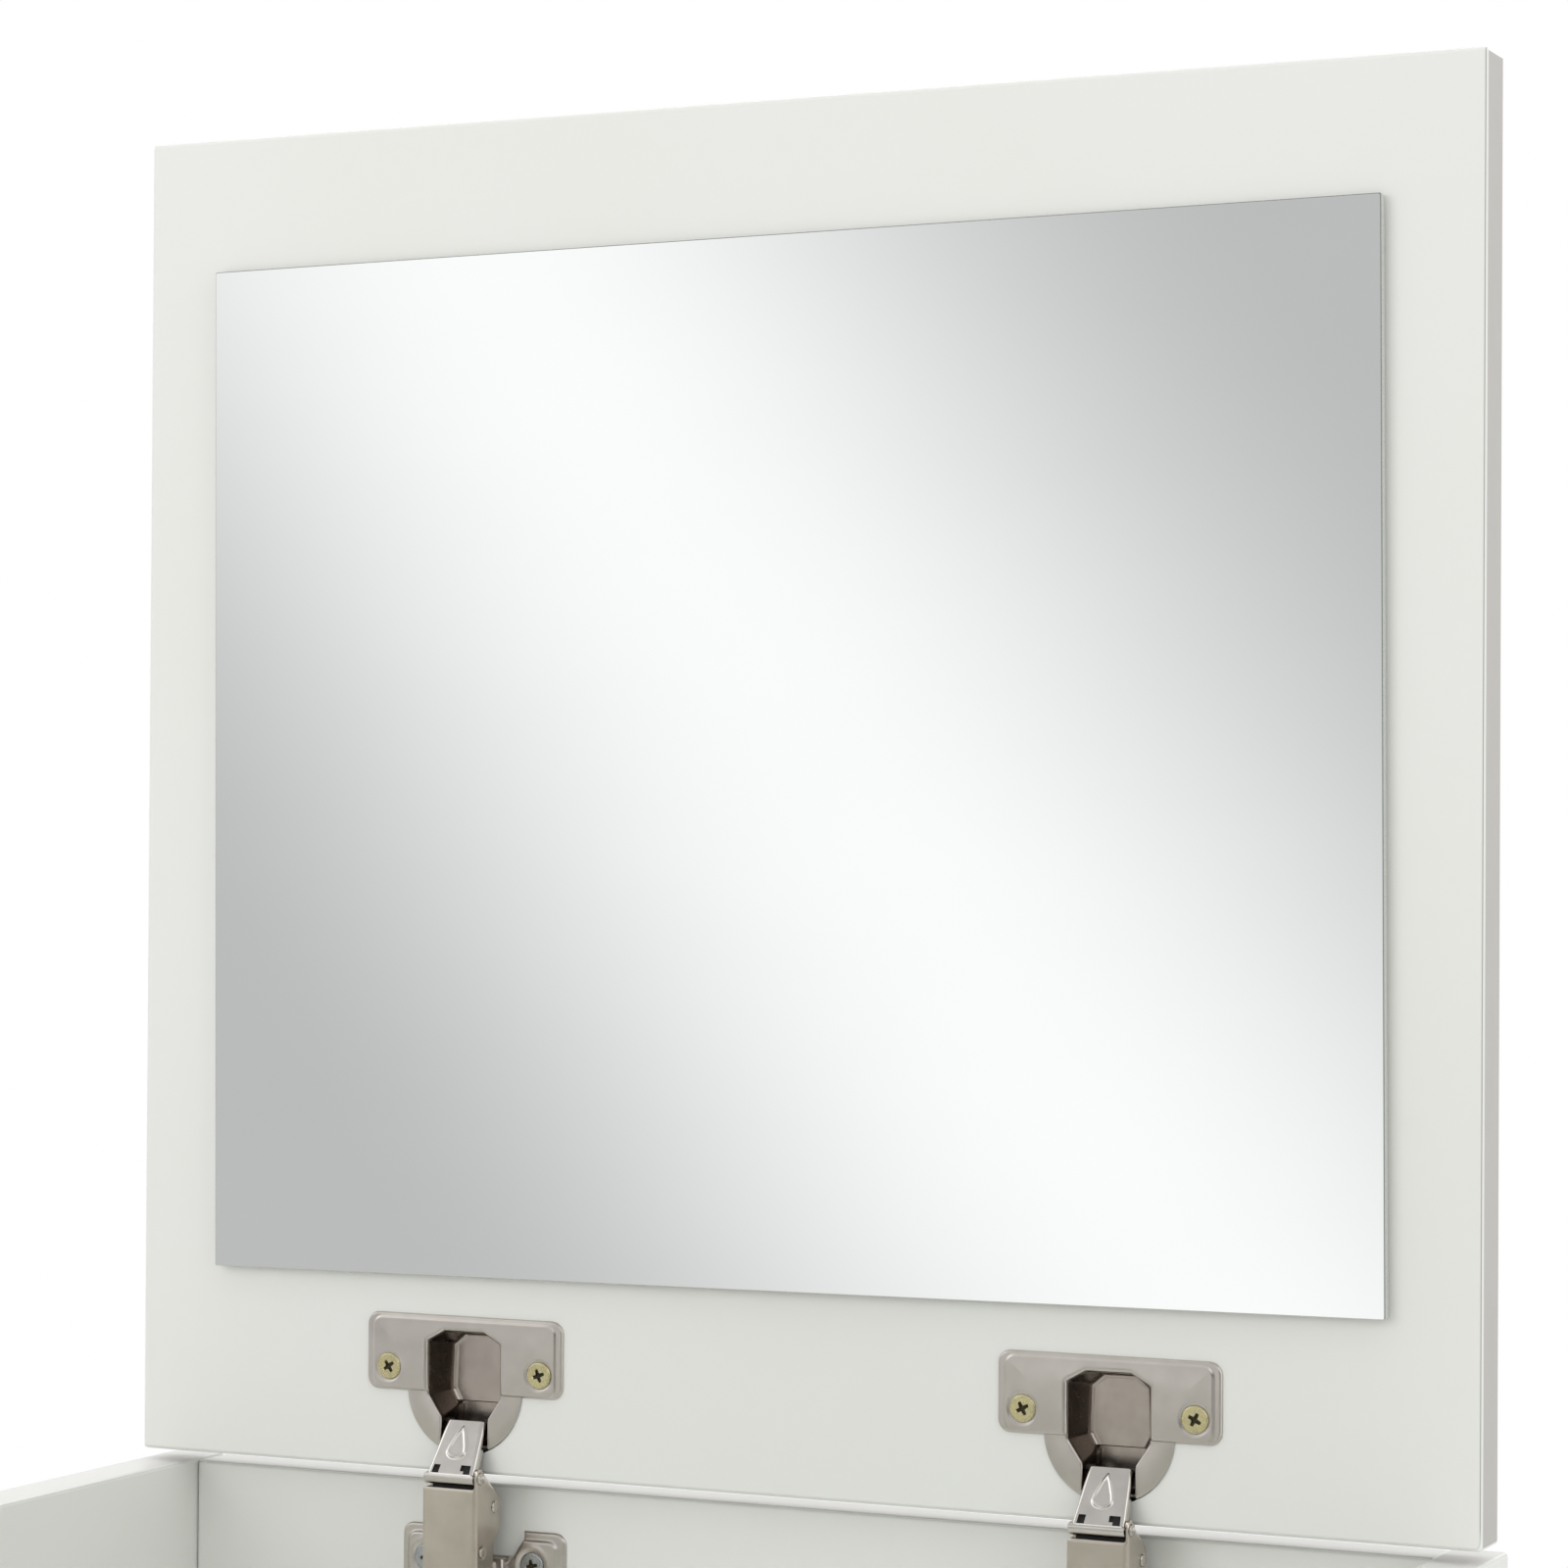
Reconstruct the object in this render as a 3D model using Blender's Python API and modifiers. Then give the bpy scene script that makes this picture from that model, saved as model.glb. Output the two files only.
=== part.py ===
"""Flip-top vanity table: a small white case on four legs whose lid carries a mirror on its inner face.

The lid stands upright on two concealed cup hinges and closes forwards over the case.
Metres, +Z up, +X to the sitter's right, the sitter at -Y. The origin is on the floor under the middle.
"""

import math

import bmesh
import bpy

MM = 0.001

# ---------------------------------------------------------------- driving dimensions
TABLE_WIDTH = 0.403
TABLE_DEPTH = 0.380
TABLE_HEIGHT = 0.750
CASE_HEIGHT = 0.150
BOARD = 0.015
EDGE_RADIUS = 1.0 * MM
FIT = 0.3 * MM
BACK_DROP = 0.6 * MM

LID_NARROWER = 3.0 * MM
LID_SHIFT = 1.5 * MM
LID_GAP_OPEN = 3.5 * MM
LID_GAP_CLOSED = 1.8 * MM
LID_TO_BACK = 10.0 * MM
LID_FRONT_OVERHANG = 0.5 * MM
HINGE_REACH = 24.5 * MM

MIRROR_SIDE_MARGIN = 25.5 * MM
MIRROR_FOOT_MARGIN = 56.0 * MM
MIRROR_TOP_MARGIN = 37.5 * MM
MIRROR_GLASS = 3.0 * MM
MIRROR_TAPE = 0.3 * MM
MIRROR_TAPE_MARGIN = 12.0 * MM
MIRROR_SKEW = math.radians(0.47)

LEG_TOP = 36.0 * MM
LEG_FOOT = 26.0 * MM
LEG_INSET = 2.0 * MM
LEG_RADIUS = 2.0 * MM
LEG_BOLT_RADIUS = 4.0 * MM
LEG_BOLT_HEAD_RADIUS = 7.0 * MM
LEG_BOLT_HEAD = 4.5 * MM
LEG_BOLT_LENGTH = 45.0 * MM

CAM_RADIUS = 7.5 * MM
CAM_DEPTH = 11.0 * MM
CAM_SETBACK = 24.0 * MM
CAM_DROP = 80.0 * MM
CAM_BOLT_RADIUS = 3.0 * MM
CAM_BOLT_IN_SIDE = 10.0 * MM

BUMPER_RADIUS = 4.0 * MM
BUMPER_SETBACK = 12.0 * MM

HINGE_LEFT_MARGIN = 107.1 * MM
HINGE_RIGHT_MARGIN = 100.1 * MM

# Cup, pressed into the lid. Heights on the lid are measured up from its lower edge.
CUP_RADIUS = 17.5 * MM
CUP_RIM_RADIUS = 18.2 * MM
CUP_RIM = 0.6 * MM
CUP_DEPTH = 11.3 * MM
CUP_EDGE_DISTANCE = 5.2 * MM
CUP_FLANGE_WIDTH = 62.5 * MM
CUP_FLANGE_BELOW = 1.3 * MM
CUP_FLANGE_HEIGHT = 21.8 * MM
CUP_FLANGE = 1.1 * MM
CUP_PROUD = 1.5 * MM
CUP_FLANGE_CORNER = 3.5 * MM
CUP_SCREW_SPACING = 48.0 * MM
CUP_SCREW_OFFSET = 6.0 * MM
POCKET_DEPTH = 10.0 * MM
POCKET_WALL = 0.8 * MM
POCKET_HALF_WIDTH = 11.5 * MM
POCKET_TOP_HALF = 5.9 * MM
POCKET_WAIST = 0.5 * MM
POCKET_SLOT_TOP = 5.7 * MM
POCKET_SLOT_HALF = 7.8 * MM
RIM_GAP_HALF = 7.6 * MM
RIM_GAP_TOP = -7.0 * MM

# Pivots. (y, z) pairs count from the datum: y from the open lid's inner face, z from the case's top.
ARM_PIVOT = (-6.4 * MM, 3.2 * MM)
OUTER_LINK_SWING = math.radians(-52.0)
CUP_PIN_DEPTH = 3.2 * MM
CUP_PIN_HEIGHT = 8.5 * MM
INNER_PIVOT_REACH = 16.15 * MM

ARM_WIDTH = 17.3 * MM
ARM_WALL = 1.2 * MM
ARM_EAR = 2.5 * MM
ARM_WEB_DROP = 1.9 * MM
ARM_LOBE_BACK = 5.6 * MM
ARM_LOBE_TOP = -3.0 * MM
ARM_LOBE_FOOT = -12.5 * MM
ARM_NECK_FOOT = -15.5 * MM
ARM_BACK = 1.6 * MM
ARM_FOOT = -59.0 * MM

PIN_RADIUS = 1.1 * MM
PIN_HEAD_RADIUS = 1.8 * MM
PIN_HEAD = 0.7 * MM
RIVET_RADIUS = 1.0 * MM
RIVET_IN_CUP = 2.4 * MM
CUP_PIN_RADIUS = 0.8 * MM
CUP_PIN_SKIN = 0.5 * MM

LINK_HALF_WIDTH = 7.0 * MM
LINK_TIP_HALF_WIDTH = 6.2 * MM
LINK_WALL = 1.0 * MM
LINK_ROLL = 2.2 * MM
LINK_EAR = 1.9 * MM
LINK_WEB_START = 2.6 * MM
LINK_WEB_SHORT = 2.4 * MM
LINK_CHEEK_BACK = 0.4 * MM

INNER_HALF_WIDTH = 4.3 * MM
INNER_THICKNESS = 1.0 * MM
INNER_EYE = 2.2 * MM
INNER_SADDLE = 1.6 * MM
INNER_ELBOWS = ((-1.2 * MM, 3.0 * MM), (-1.3 * MM, 11.3 * MM))

SPRING_WIRE = 0.35 * MM
SPRING_PITCH = 0.9 * MM
SPRING_COIL = 2.1 * MM
SPRING_TURNS = 2
SPRING_LEG = 5.0 * MM

PLATE_THICKNESS = 1.5 * MM
PLATE_WING_WIDTH = 52.3 * MM
PLATE_WING_TOP = -12.9 * MM
PLATE_WING_HEIGHT = 19.4 * MM
PLATE_WING_CORNER = 3.0 * MM
PLATE_SHOULDER_HALF = 14.3 * MM
PLATE_SHOULDER_FOOT = -15.5 * MM
PLATE_NOTCH_HALF = 10.5 * MM
PLATE_NOTCH_FOOT = -20.5 * MM
PLATE_SCREW_SPACING = 34.0 * MM
PLATE_SCREW_DROP = -22.6 * MM
RIDGE_HALF = 6.9 * MM
RIDGE_FRONT = -1.0 * MM
RIDGE_TOP = -21.5 * MM
RIDGE_FOOT = -56.0 * MM

SCREW_HEAD_RADIUS = 3.7 * MM
SCREW_HEAD = 1.2 * MM
SCREW_RADIUS = 1.6 * MM
SCREW_LENGTH = 12.0 * MM
SCREW_RECESS = 0.8 * MM
SCREW_SLOT_LENGTH = 3.6 * MM
SCREW_SLOT_WIDTH = 0.9 * MM
FIXING_SCREW_DROP = -44.0 * MM
FIXING_SCREW_RADIUS = 2.0 * MM
FIXING_SCREW_HEAD_RADIUS = 3.6 * MM
FIXING_SCREW_HEAD = 2.0 * MM

ROUND = 24
SMALL_ROUND = 14

# ---------------------------------------------------------------- derived places
CASE_TOP = TABLE_HEIGHT - BOARD - LID_GAP_CLOSED
CASE_FOOT = CASE_TOP - CASE_HEIGHT
BACK_OUTER = TABLE_DEPTH / 2
BACK_INNER = BACK_OUTER - BOARD
LID_WIDTH = TABLE_WIDTH - LID_NARROWER
LID_REAR_INSET = LID_TO_BACK + BOARD - HINGE_REACH
LID_DEPTH = TABLE_DEPTH - LID_REAR_INSET + LID_FRONT_OVERHANG
LID_LEFT = LID_SHIFT - LID_WIDTH / 2
LID_FACE = BACK_INNER - LID_TO_BACK
LID_FOOT = CASE_TOP + LID_GAP_OPEN
CUP_HEIGHT = CUP_EDGE_DISTANCE + CUP_RADIUS
HINGES = {
    "left": LID_LEFT + HINGE_LEFT_MARGIN,
    "right": LID_LEFT + LID_WIDTH - HINGE_RIGHT_MARGIN,
}

# The hinge's reach runs from the open lid's inner face to its rear edge when it is closed.
# The lid goes from open to closed by a quarter turn about one pole, and each link's cup end
# must be equally far from its arm pivot in both positions.
POLE = (
    (HINGE_REACH + LID_GAP_OPEN - LID_GAP_CLOSED) / 2,
    (HINGE_REACH + LID_GAP_OPEN + LID_GAP_CLOSED) / 2,
)


def link_tip():
    """Open position of the outer link's cup pivot, which its swing and the lid's quarter turn both fit."""
    cos, sin = math.cos(OUTER_LINK_SWING), math.sin(OUTER_LINK_SWING)
    # Quarter turn minus swing, applied to the tip, equals the same applied to the two centres.
    a, b = -cos, -1.0 + sin
    c, d = 1.0 - sin, -cos
    ay, az = ARM_PIVOT
    py, pz = POLE
    right_y = ay - (cos * ay - sin * az) - py + (-pz)
    right_z = az - (sin * ay + cos * az) - pz + py
    determinant = a * d - b * c
    return ((right_y * d - b * right_z) / determinant, (a * right_z - c * right_y) / determinant)


def inner_pivot(open_end):
    """Arm pivot of the inner link, on the line equally far from its cup pin when open and closed."""
    dy, dz = open_end[0] - POLE[0], open_end[1] - POLE[1]
    closed_end = (POLE[0] - dz, POLE[1] + dy)
    middle = ((open_end[0] + closed_end[0]) / 2, (open_end[1] + closed_end[1]) / 2)
    chord = (closed_end[0] - open_end[0], closed_end[1] - open_end[1])
    length = math.hypot(*chord)
    return (
        middle[0] + chord[1] / length * INNER_PIVOT_REACH,
        middle[1] - chord[0] / length * INNER_PIVOT_REACH,
    )


LINK_TIP = link_tip()
CUP_PIN = (CUP_PIN_DEPTH, LID_GAP_OPEN + CUP_PIN_HEIGHT)
INNER_PIVOT = inner_pivot(CUP_PIN)
ARM_FRONT = ARM_PIVOT[0] - ARM_EAR

WHITE = (0.80, 0.81, 0.78, 1.0)
NICKEL = (0.44, 0.41, 0.37, 1.0)
POLISHED = (0.60, 0.58, 0.55, 1.0)
YELLOW_ZINC = (0.62, 0.57, 0.33, 1.0)


# ---------------------------------------------------------------- scene and materials
for leftover in list(bpy.data.objects):
    bpy.data.objects.remove(leftover, do_unlink=True)

PARTS = bpy.data.collections.new("vanity_table")
CUTTERS = bpy.data.collections.new("cutters")
bpy.context.scene.collection.children.link(PARTS)
bpy.context.scene.collection.children.link(CUTTERS)


def material(name, colour, roughness, metallic=0.0):
    mat = bpy.data.materials.new(name)
    mat.use_nodes = True
    shader = mat.node_tree.nodes["Principled BSDF"]
    shader.inputs["Base Color"].default_value = colour
    shader.inputs["Roughness"].default_value = roughness
    shader.inputs["Metallic"].default_value = metallic
    return mat


def melamine(name):
    return material(name, WHITE, 0.45)


def nickel(name):
    return material(name, NICKEL, 0.35, 1.0)


# ---------------------------------------------------------------- modelling helpers
def place(name, mesh, location=(0.0, 0.0, 0.0), rotation=(0.0, 0.0, 0.0), mat=None):
    """Put a mesh in the scene as a part, or as a cutter when it has no material."""
    obj = bpy.data.objects.new(name, mesh)
    obj.location = location
    obj.rotation_euler = rotation
    if mat is None:
        CUTTERS.objects.link(obj)
        obj.hide_render = True
        obj.display_type = "WIRE"
    else:
        PARTS.objects.link(obj)
        obj.data.materials.append(mat)
    return obj


def mesh_from(name, build):
    """Fill a new mesh with what the function makes in a bmesh."""
    bm = bmesh.new()
    build(bm)
    mesh = bpy.data.meshes.new(name)
    bm.to_mesh(mesh)
    bm.free()
    return mesh


def box(name, low, high, mat=None, radius=0.0, segments=2):
    """Block between two corners, its origin in its middle, its edges rounded to the radius."""
    size = [b - a for a, b in zip(low, high)]
    middle = [(a + b) / 2 for a, b in zip(low, high)]

    def build(bm):
        bmesh.ops.create_cube(bm, size=1.0)
        bmesh.ops.scale(bm, vec=size, verts=bm.verts)

    obj = place(name, mesh_from(name, build), middle, mat=mat)
    if radius:
        bevel = obj.modifiers.new("rounded_edges", "BEVEL")
        bevel.width = radius
        bevel.segments = segments
    return obj


def rod(name, radius, start, end, mat=None, segments=SMALL_ROUND):
    """Round bar between two points that differ along one axis only."""
    length = sum(b - a for a, b in zip(start, end))
    middle = [(a + b) / 2 for a, b in zip(start, end)]
    turn = {0: (0.0, math.pi / 2, 0.0), 1: (math.pi / 2, 0.0, 0.0), 2: (0.0, 0.0, 0.0)}
    axis = max(range(3), key=lambda i: abs(end[i] - start[i]))

    def build(bm):
        bmesh.ops.create_cone(
            bm, cap_ends=True, segments=segments, radius1=radius, radius2=radius, depth=abs(length)
        )

    return place(name, mesh_from(name, build), middle, turn[axis], mat)


def turned(name, profile, location, rotation, mat=None, steps=ROUND):
    """Solid of revolution: (radius, height) points run down the outside, from the axis to the axis."""
    mesh = bpy.data.meshes.new(name)
    edges = [(i, i + 1) for i in range(len(profile) - 1)]
    mesh.from_pydata([(r, 0.0, z) for r, z in profile], edges, [])
    obj = place(name, mesh, location, rotation, mat)
    screw = obj.modifiers.new("turn", "SCREW")
    screw.axis = "Z"
    screw.steps = steps
    screw.render_steps = steps
    screw.use_merge_vertices = True
    screw.merge_threshold = 0.00001
    return obj


def arc(centre, radius, start, end, steps):
    """Points on an arc, its angles in degrees, both ends included."""
    points = []
    for i in range(steps + 1):
        angle = math.radians(start + (end - start) * i / steps)
        points.append((centre[0] + radius * math.cos(angle), centre[1] + radius * math.sin(angle)))
    return points


def rounded_rectangle(left, foot, right, top, radius, steps=4):
    corners = (
        ((right - radius, top - radius), 0),
        ((left + radius, top - radius), 90),
        ((left + radius, foot + radius), 180),
        ((right - radius, foot + radius), 270),
    )
    points = []
    for centre, start in corners:
        points += arc(centre, radius, start, start + 90, steps)
    return points


SIDE_VIEW = (math.pi / 2, 0.0, math.pi / 2)
FRONT_VIEW = (math.pi / 2, 0.0, 0.0)


def plate(name, outline, thickness, location, view, mat=None):
    """Flat outline given half its thickness each way: (y, z) in the side view, (x, z) in the front view."""
    curve = bpy.data.curves.new(name, "CURVE")
    curve.dimensions = "2D"
    curve.fill_mode = "BOTH"
    curve.extrude = thickness / 2
    spline = curve.splines.new("POLY")
    spline.points.add(len(outline) - 1)
    for point, (u, v) in zip(spline.points, outline):
        point.co = (u, v, 0.0, 1.0)
    spline.use_cyclic_u = True
    return from_curve(name, curve, location, view, mat)


def from_curve(name, curve, location, rotation, mat=None):
    """Turn a curve into a closed mesh with welded caps, in the same place."""
    source = bpy.data.objects.new(name + "_curve", curve)
    source.location = location
    source.rotation_euler = rotation
    CUTTERS.objects.link(source)
    bpy.context.view_layer.update()
    evaluated = source.evaluated_get(bpy.context.evaluated_depsgraph_get())
    mesh = bpy.data.meshes.new_from_object(evaluated)
    mesh.name = name
    bm = bmesh.new()
    bm.from_mesh(mesh)
    bmesh.ops.remove_doubles(bm, verts=bm.verts, dist=0.000001)
    bmesh.ops.recalc_face_normals(bm, faces=bm.faces)
    bm.to_mesh(mesh)
    bm.free()
    mesh.materials.clear()
    obj = place(name, mesh, mat=mat)
    obj.matrix_world = source.matrix_world
    bpy.data.objects.remove(source, do_unlink=True)
    return obj


def combine(obj, other, operation):
    """Add or take away another solid, which becomes a cutter."""
    if other.name in PARTS.objects:
        PARTS.objects.unlink(other)
        CUTTERS.objects.link(other)
        other.hide_render = True
        other.display_type = "WIRE"
    modifier = obj.modifiers.new(operation.lower(), "BOOLEAN")
    modifier.operation = operation
    modifier.solver = "EXACT"
    modifier.object = other


def cut(obj, *cutters):
    for cutter in cutters:
        combine(obj, cutter, "DIFFERENCE")


def join(obj, *others):
    for other in others:
        combine(obj, other, "UNION")


def smooth(obj, angle=35.0):
    """Shade round stretches smooth and keep the creases sharp."""
    obj.data.shade_smooth()
    obj.data.set_sharp_from_angle(angle=math.radians(angle))


def hang(obj, parent):
    """Parent an object to an unturned empty and keep it where it is."""
    obj.parent = parent
    obj.location = obj.location - parent.location


def axis_empty(name, y, z):
    """Empty on a joint axis, which its moving pieces hang on."""
    empty = bpy.data.objects.new(name, None)
    empty.location = (0.0, LID_FACE + y, CASE_TOP + z)
    PARTS.objects.link(empty)
    return empty


def datum(x, point):
    """World place of a (y, z) hinge point."""
    return (x, LID_FACE + point[0], CASE_TOP + point[1])


# ---------------------------------------------------------------- case
def build_case():
    inner = TABLE_WIDTH / 2 - BOARD
    panels = {}
    for side, sign in (("left", -1), ("right", 1)):
        edges = sorted((sign * inner, sign * (inner + BOARD)))
        panels[side] = box(
            "side_panel_" + side,
            (edges[0], -BACK_OUTER, CASE_FOOT),
            (edges[1], BACK_OUTER, CASE_TOP),
            melamine("white_melamine_side_" + side),
            EDGE_RADIUS,
        )
    cross = inner - FIT
    panels["front"] = box(
        "front_panel",
        (-cross, -BACK_OUTER, CASE_FOOT),
        (cross, -BACK_INNER, CASE_TOP - BACK_DROP),
        melamine("white_melamine_front"),
        EDGE_RADIUS,
    )
    panels["back"] = box(
        "back_panel",
        (-cross, BACK_INNER, CASE_FOOT),
        (cross, BACK_OUTER, CASE_TOP - BACK_DROP),
        melamine("white_melamine_back"),
        EDGE_RADIUS,
    )
    panels["bottom"] = box(
        "bottom_panel",
        (-cross, -BACK_INNER + FIT, CASE_FOOT),
        (cross, BACK_INNER - FIT, CASE_FOOT + BOARD),
        melamine("white_melamine_bottom"),
    )
    for side, x_sign in (("left", -1), ("right", 1)):
        for end, y_sign in (("front", -1), ("back", 1)):
            build_cam_joint(panels[side], panels[end], side, end, x_sign, y_sign, inner)
        build_bumper(side, x_sign * (inner + BOARD / 2))
    for side, x_sign in (("left", -1), ("right", 1)):
        for end, y_sign in (("front", -1), ("rear", 1)):
            build_leg(panels["bottom"], side, end, x_sign, y_sign)
    return panels


def build_cam_joint(side_panel, end_panel, side, end, x_sign, y_sign, inner):
    """Cam in the end panel's inner face, drawn on a bolt that is screwed into the side panel."""
    z = CASE_TOP - CAM_DROP
    x = x_sign * (inner - CAM_SETBACK)
    face = y_sign * BACK_INNER
    deep = face + y_sign * CAM_DEPTH
    middle = y_sign * (BACK_INNER + BOARD / 2)
    name = f"{end}_{side}"
    cam = rod(
        "cam_lock_" + name,
        CAM_RADIUS,
        (x, min(face, deep), z),
        (x, max(face, deep), z),
        material("zinc_cam_" + name, NICKEL, 0.4, 1.0),
        ROUND,
    )
    bolt_end = x + x_sign * FIT
    anchor = x_sign * (inner + CAM_BOLT_IN_SIDE)
    slot_width = CAM_BOLT_RADIUS + 2 * FIT
    cut(
        cam,
        box(
            "cam_slot_" + name,
            (min(x - x_sign * CAM_RADIUS / 2, anchor), middle - slot_width, z - slot_width),
            (max(x - x_sign * CAM_RADIUS / 2, anchor), middle + slot_width, z + slot_width),
        ),
        box(
            "cam_drive_" + name,
            (x - CAM_RADIUS / 2, face - SCREW_RECESS, z - SCREW_SLOT_WIDTH / 2),
            (x + CAM_RADIUS / 2, face + SCREW_RECESS, z + SCREW_SLOT_WIDTH / 2),
        ),
    )
    smooth(cam)
    bolt = rod(
        "cam_bolt_" + name,
        CAM_BOLT_RADIUS,
        (min(bolt_end, anchor), middle, z),
        (max(bolt_end, anchor), middle, z),
        material("zinc_cam_bolt_" + name, NICKEL, 0.4, 1.0),
    )
    smooth(bolt)
    hole_end = anchor + x_sign * FIT
    hole = rod(
        "cam_bolt_hole_" + name,
        CAM_BOLT_RADIUS + FIT,
        (min(x, hole_end), middle, z),
        (max(x, hole_end), middle, z),
    )
    outer = face - y_sign * CAM_DEPTH
    bottom = deep + y_sign * FIT
    cut(
        end_panel,
        rod("cam_hole_" + name, CAM_RADIUS + FIT, (x, min(outer, bottom), z), (x, max(outer, bottom), z)),
        hole,
    )
    cut(side_panel, hole)


def build_bumper(side, x):
    """Clear pad that the closed lid rests on."""
    height = LID_GAP_CLOSED - 2 * FIT
    y = -BACK_OUTER + BUMPER_SETBACK
    profile = [(0.0, height), (BUMPER_RADIUS * 0.7, height), (BUMPER_RADIUS, height / 2)]
    profile += [(BUMPER_RADIUS, 0.0), (0.0, 0.0)]
    pad = material("silicone_bumper_" + side, (0.8, 0.8, 0.8, 1.0), 0.3)
    smooth(turned("bumper_" + side, profile, (x, y, CASE_TOP + FIT), (0.0, 0.0, 0.0), pad, SMALL_ROUND))


def build_leg(bottom_panel, side, end, x_sign, y_sign):
    """Square leg that tapers to its foot, held by a bolt through the bottom panel."""
    name = f"{end}_{side}"
    x = x_sign * (TABLE_WIDTH / 2 - LEG_INSET - LEG_TOP / 2)
    y = y_sign * (BACK_OUTER - LEG_INSET - LEG_TOP / 2)
    top = CASE_FOOT - FIT
    bolt_x = x - x_sign * (BOARD - LEG_INSET) / 2
    bolt_y = y - y_sign * (BOARD - LEG_INSET) / 2
    leg = box(
        "leg_" + name,
        (x - LEG_TOP / 2, y - LEG_TOP / 2, 0.0),
        (x + LEG_TOP / 2, y + LEG_TOP / 2, top),
        material("white_lacquer_leg_" + name, WHITE, 0.4),
        LEG_RADIUS,
    )
    for vertex in leg.data.vertices:
        if vertex.co.z < 0.0:
            vertex.co.x *= LEG_FOOT / LEG_TOP
            vertex.co.y *= LEG_FOOT / LEG_TOP
    seat = CASE_FOOT + BOARD + FIT
    foot = seat - LEG_BOLT_LENGTH
    profile = [(0.0, LEG_BOLT_HEAD), (LEG_BOLT_HEAD_RADIUS, LEG_BOLT_HEAD), (LEG_BOLT_HEAD_RADIUS, 0.0)]
    profile += [(LEG_BOLT_RADIUS, 0.0), (LEG_BOLT_RADIUS, -LEG_BOLT_LENGTH), (0.0, -LEG_BOLT_LENGTH)]
    zinc = material("zinc_leg_bolt_" + name, NICKEL, 0.4, 1.0)
    bolt = turned("leg_bolt_" + name, profile, (bolt_x, bolt_y, seat), (0.0, 0.0, 0.0), zinc, SMALL_ROUND)
    smooth(bolt)
    hole = rod(
        "leg_bolt_hole_" + name,
        LEG_BOLT_RADIUS + FIT,
        (bolt_x, bolt_y, foot - FIT),
        (bolt_x, bolt_y, seat + BOARD),
    )
    cut(leg, hole)
    cut(bottom_panel, hole)


# ---------------------------------------------------------------- lid and mirror
def build_lid(parent):
    lid = box(
        "lid_panel",
        (LID_LEFT, LID_FACE, LID_FOOT),
        (LID_LEFT + LID_WIDTH, LID_FACE + BOARD, LID_FOOT + LID_DEPTH),
        melamine("white_melamine_lid"),
        EDGE_RADIUS,
    )
    width = LID_WIDTH - 2 * MIRROR_SIDE_MARGIN
    height = LID_DEPTH - MIRROR_FOOT_MARGIN - MIRROR_TOP_MARGIN
    centre_x = LID_LEFT + LID_WIDTH / 2
    centre_z = LID_FOOT + MIRROR_FOOT_MARGIN + height / 2
    tape_back = LID_FACE - FIT
    glass_back = tape_back - MIRROR_TAPE - FIT
    tape_w, tape_h = width / 2 - MIRROR_TAPE_MARGIN, height / 2 - MIRROR_TAPE_MARGIN
    tape = box(
        "mirror_tape",
        (centre_x - tape_w, tape_back - MIRROR_TAPE, centre_z - tape_h),
        (centre_x + tape_w, tape_back, centre_z + tape_h),
        material("foam_tape", (0.75, 0.75, 0.73, 1.0), 0.8),
    )
    glass = box(
        "mirror_glass",
        (centre_x - width / 2, glass_back - MIRROR_GLASS, centre_z - height / 2),
        (centre_x + width / 2, glass_back, centre_z + height / 2),
        material("silvered_glass", (0.9, 0.9, 0.9, 1.0), 0.02, 1.0),
        MIRROR_TAPE,
        1,
    )
    for piece in (tape, glass):
        piece.rotation_euler = (0.0, -MIRROR_SKEW, 0.0)
    for piece in (lid, tape, glass):
        hang(piece, parent)
    return lid


# ---------------------------------------------------------------- hinge: cup, in the lid
def cup_point(x, height):
    """Place on the lid's inner face, its height counted from the cup's middle."""
    return (x, LID_FACE, LID_FOOT + CUP_HEIGHT + height)


def pocket_outline():
    """Octagon that narrows to the slot the links leave through, a wall's thickness inside the barrel."""
    inside = CUP_RADIUS - POCKET_WALL
    corner = math.degrees(math.asin(POCKET_SLOT_HALF / inside))
    slot = arc((0.0, 0.0), inside, 270, 270 + corner, 4)[1:]
    half = slot + [
        (POCKET_SLOT_HALF, -POCKET_SLOT_TOP),
        (POCKET_HALF_WIDTH, -POCKET_WAIST),
        (POCKET_HALF_WIDTH, half_chord(inside, POCKET_HALF_WIDTH)),
        (POCKET_TOP_HALF, half_chord(inside, POCKET_TOP_HALF)),
    ]
    return [(0.0, -inside)] + half + [(-x, z) for x, z in reversed(half)]


def half_chord(radius, offset):
    """Half the length of a circle's chord that lies this far from its centre."""
    return math.sqrt(radius**2 - offset**2)


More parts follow.
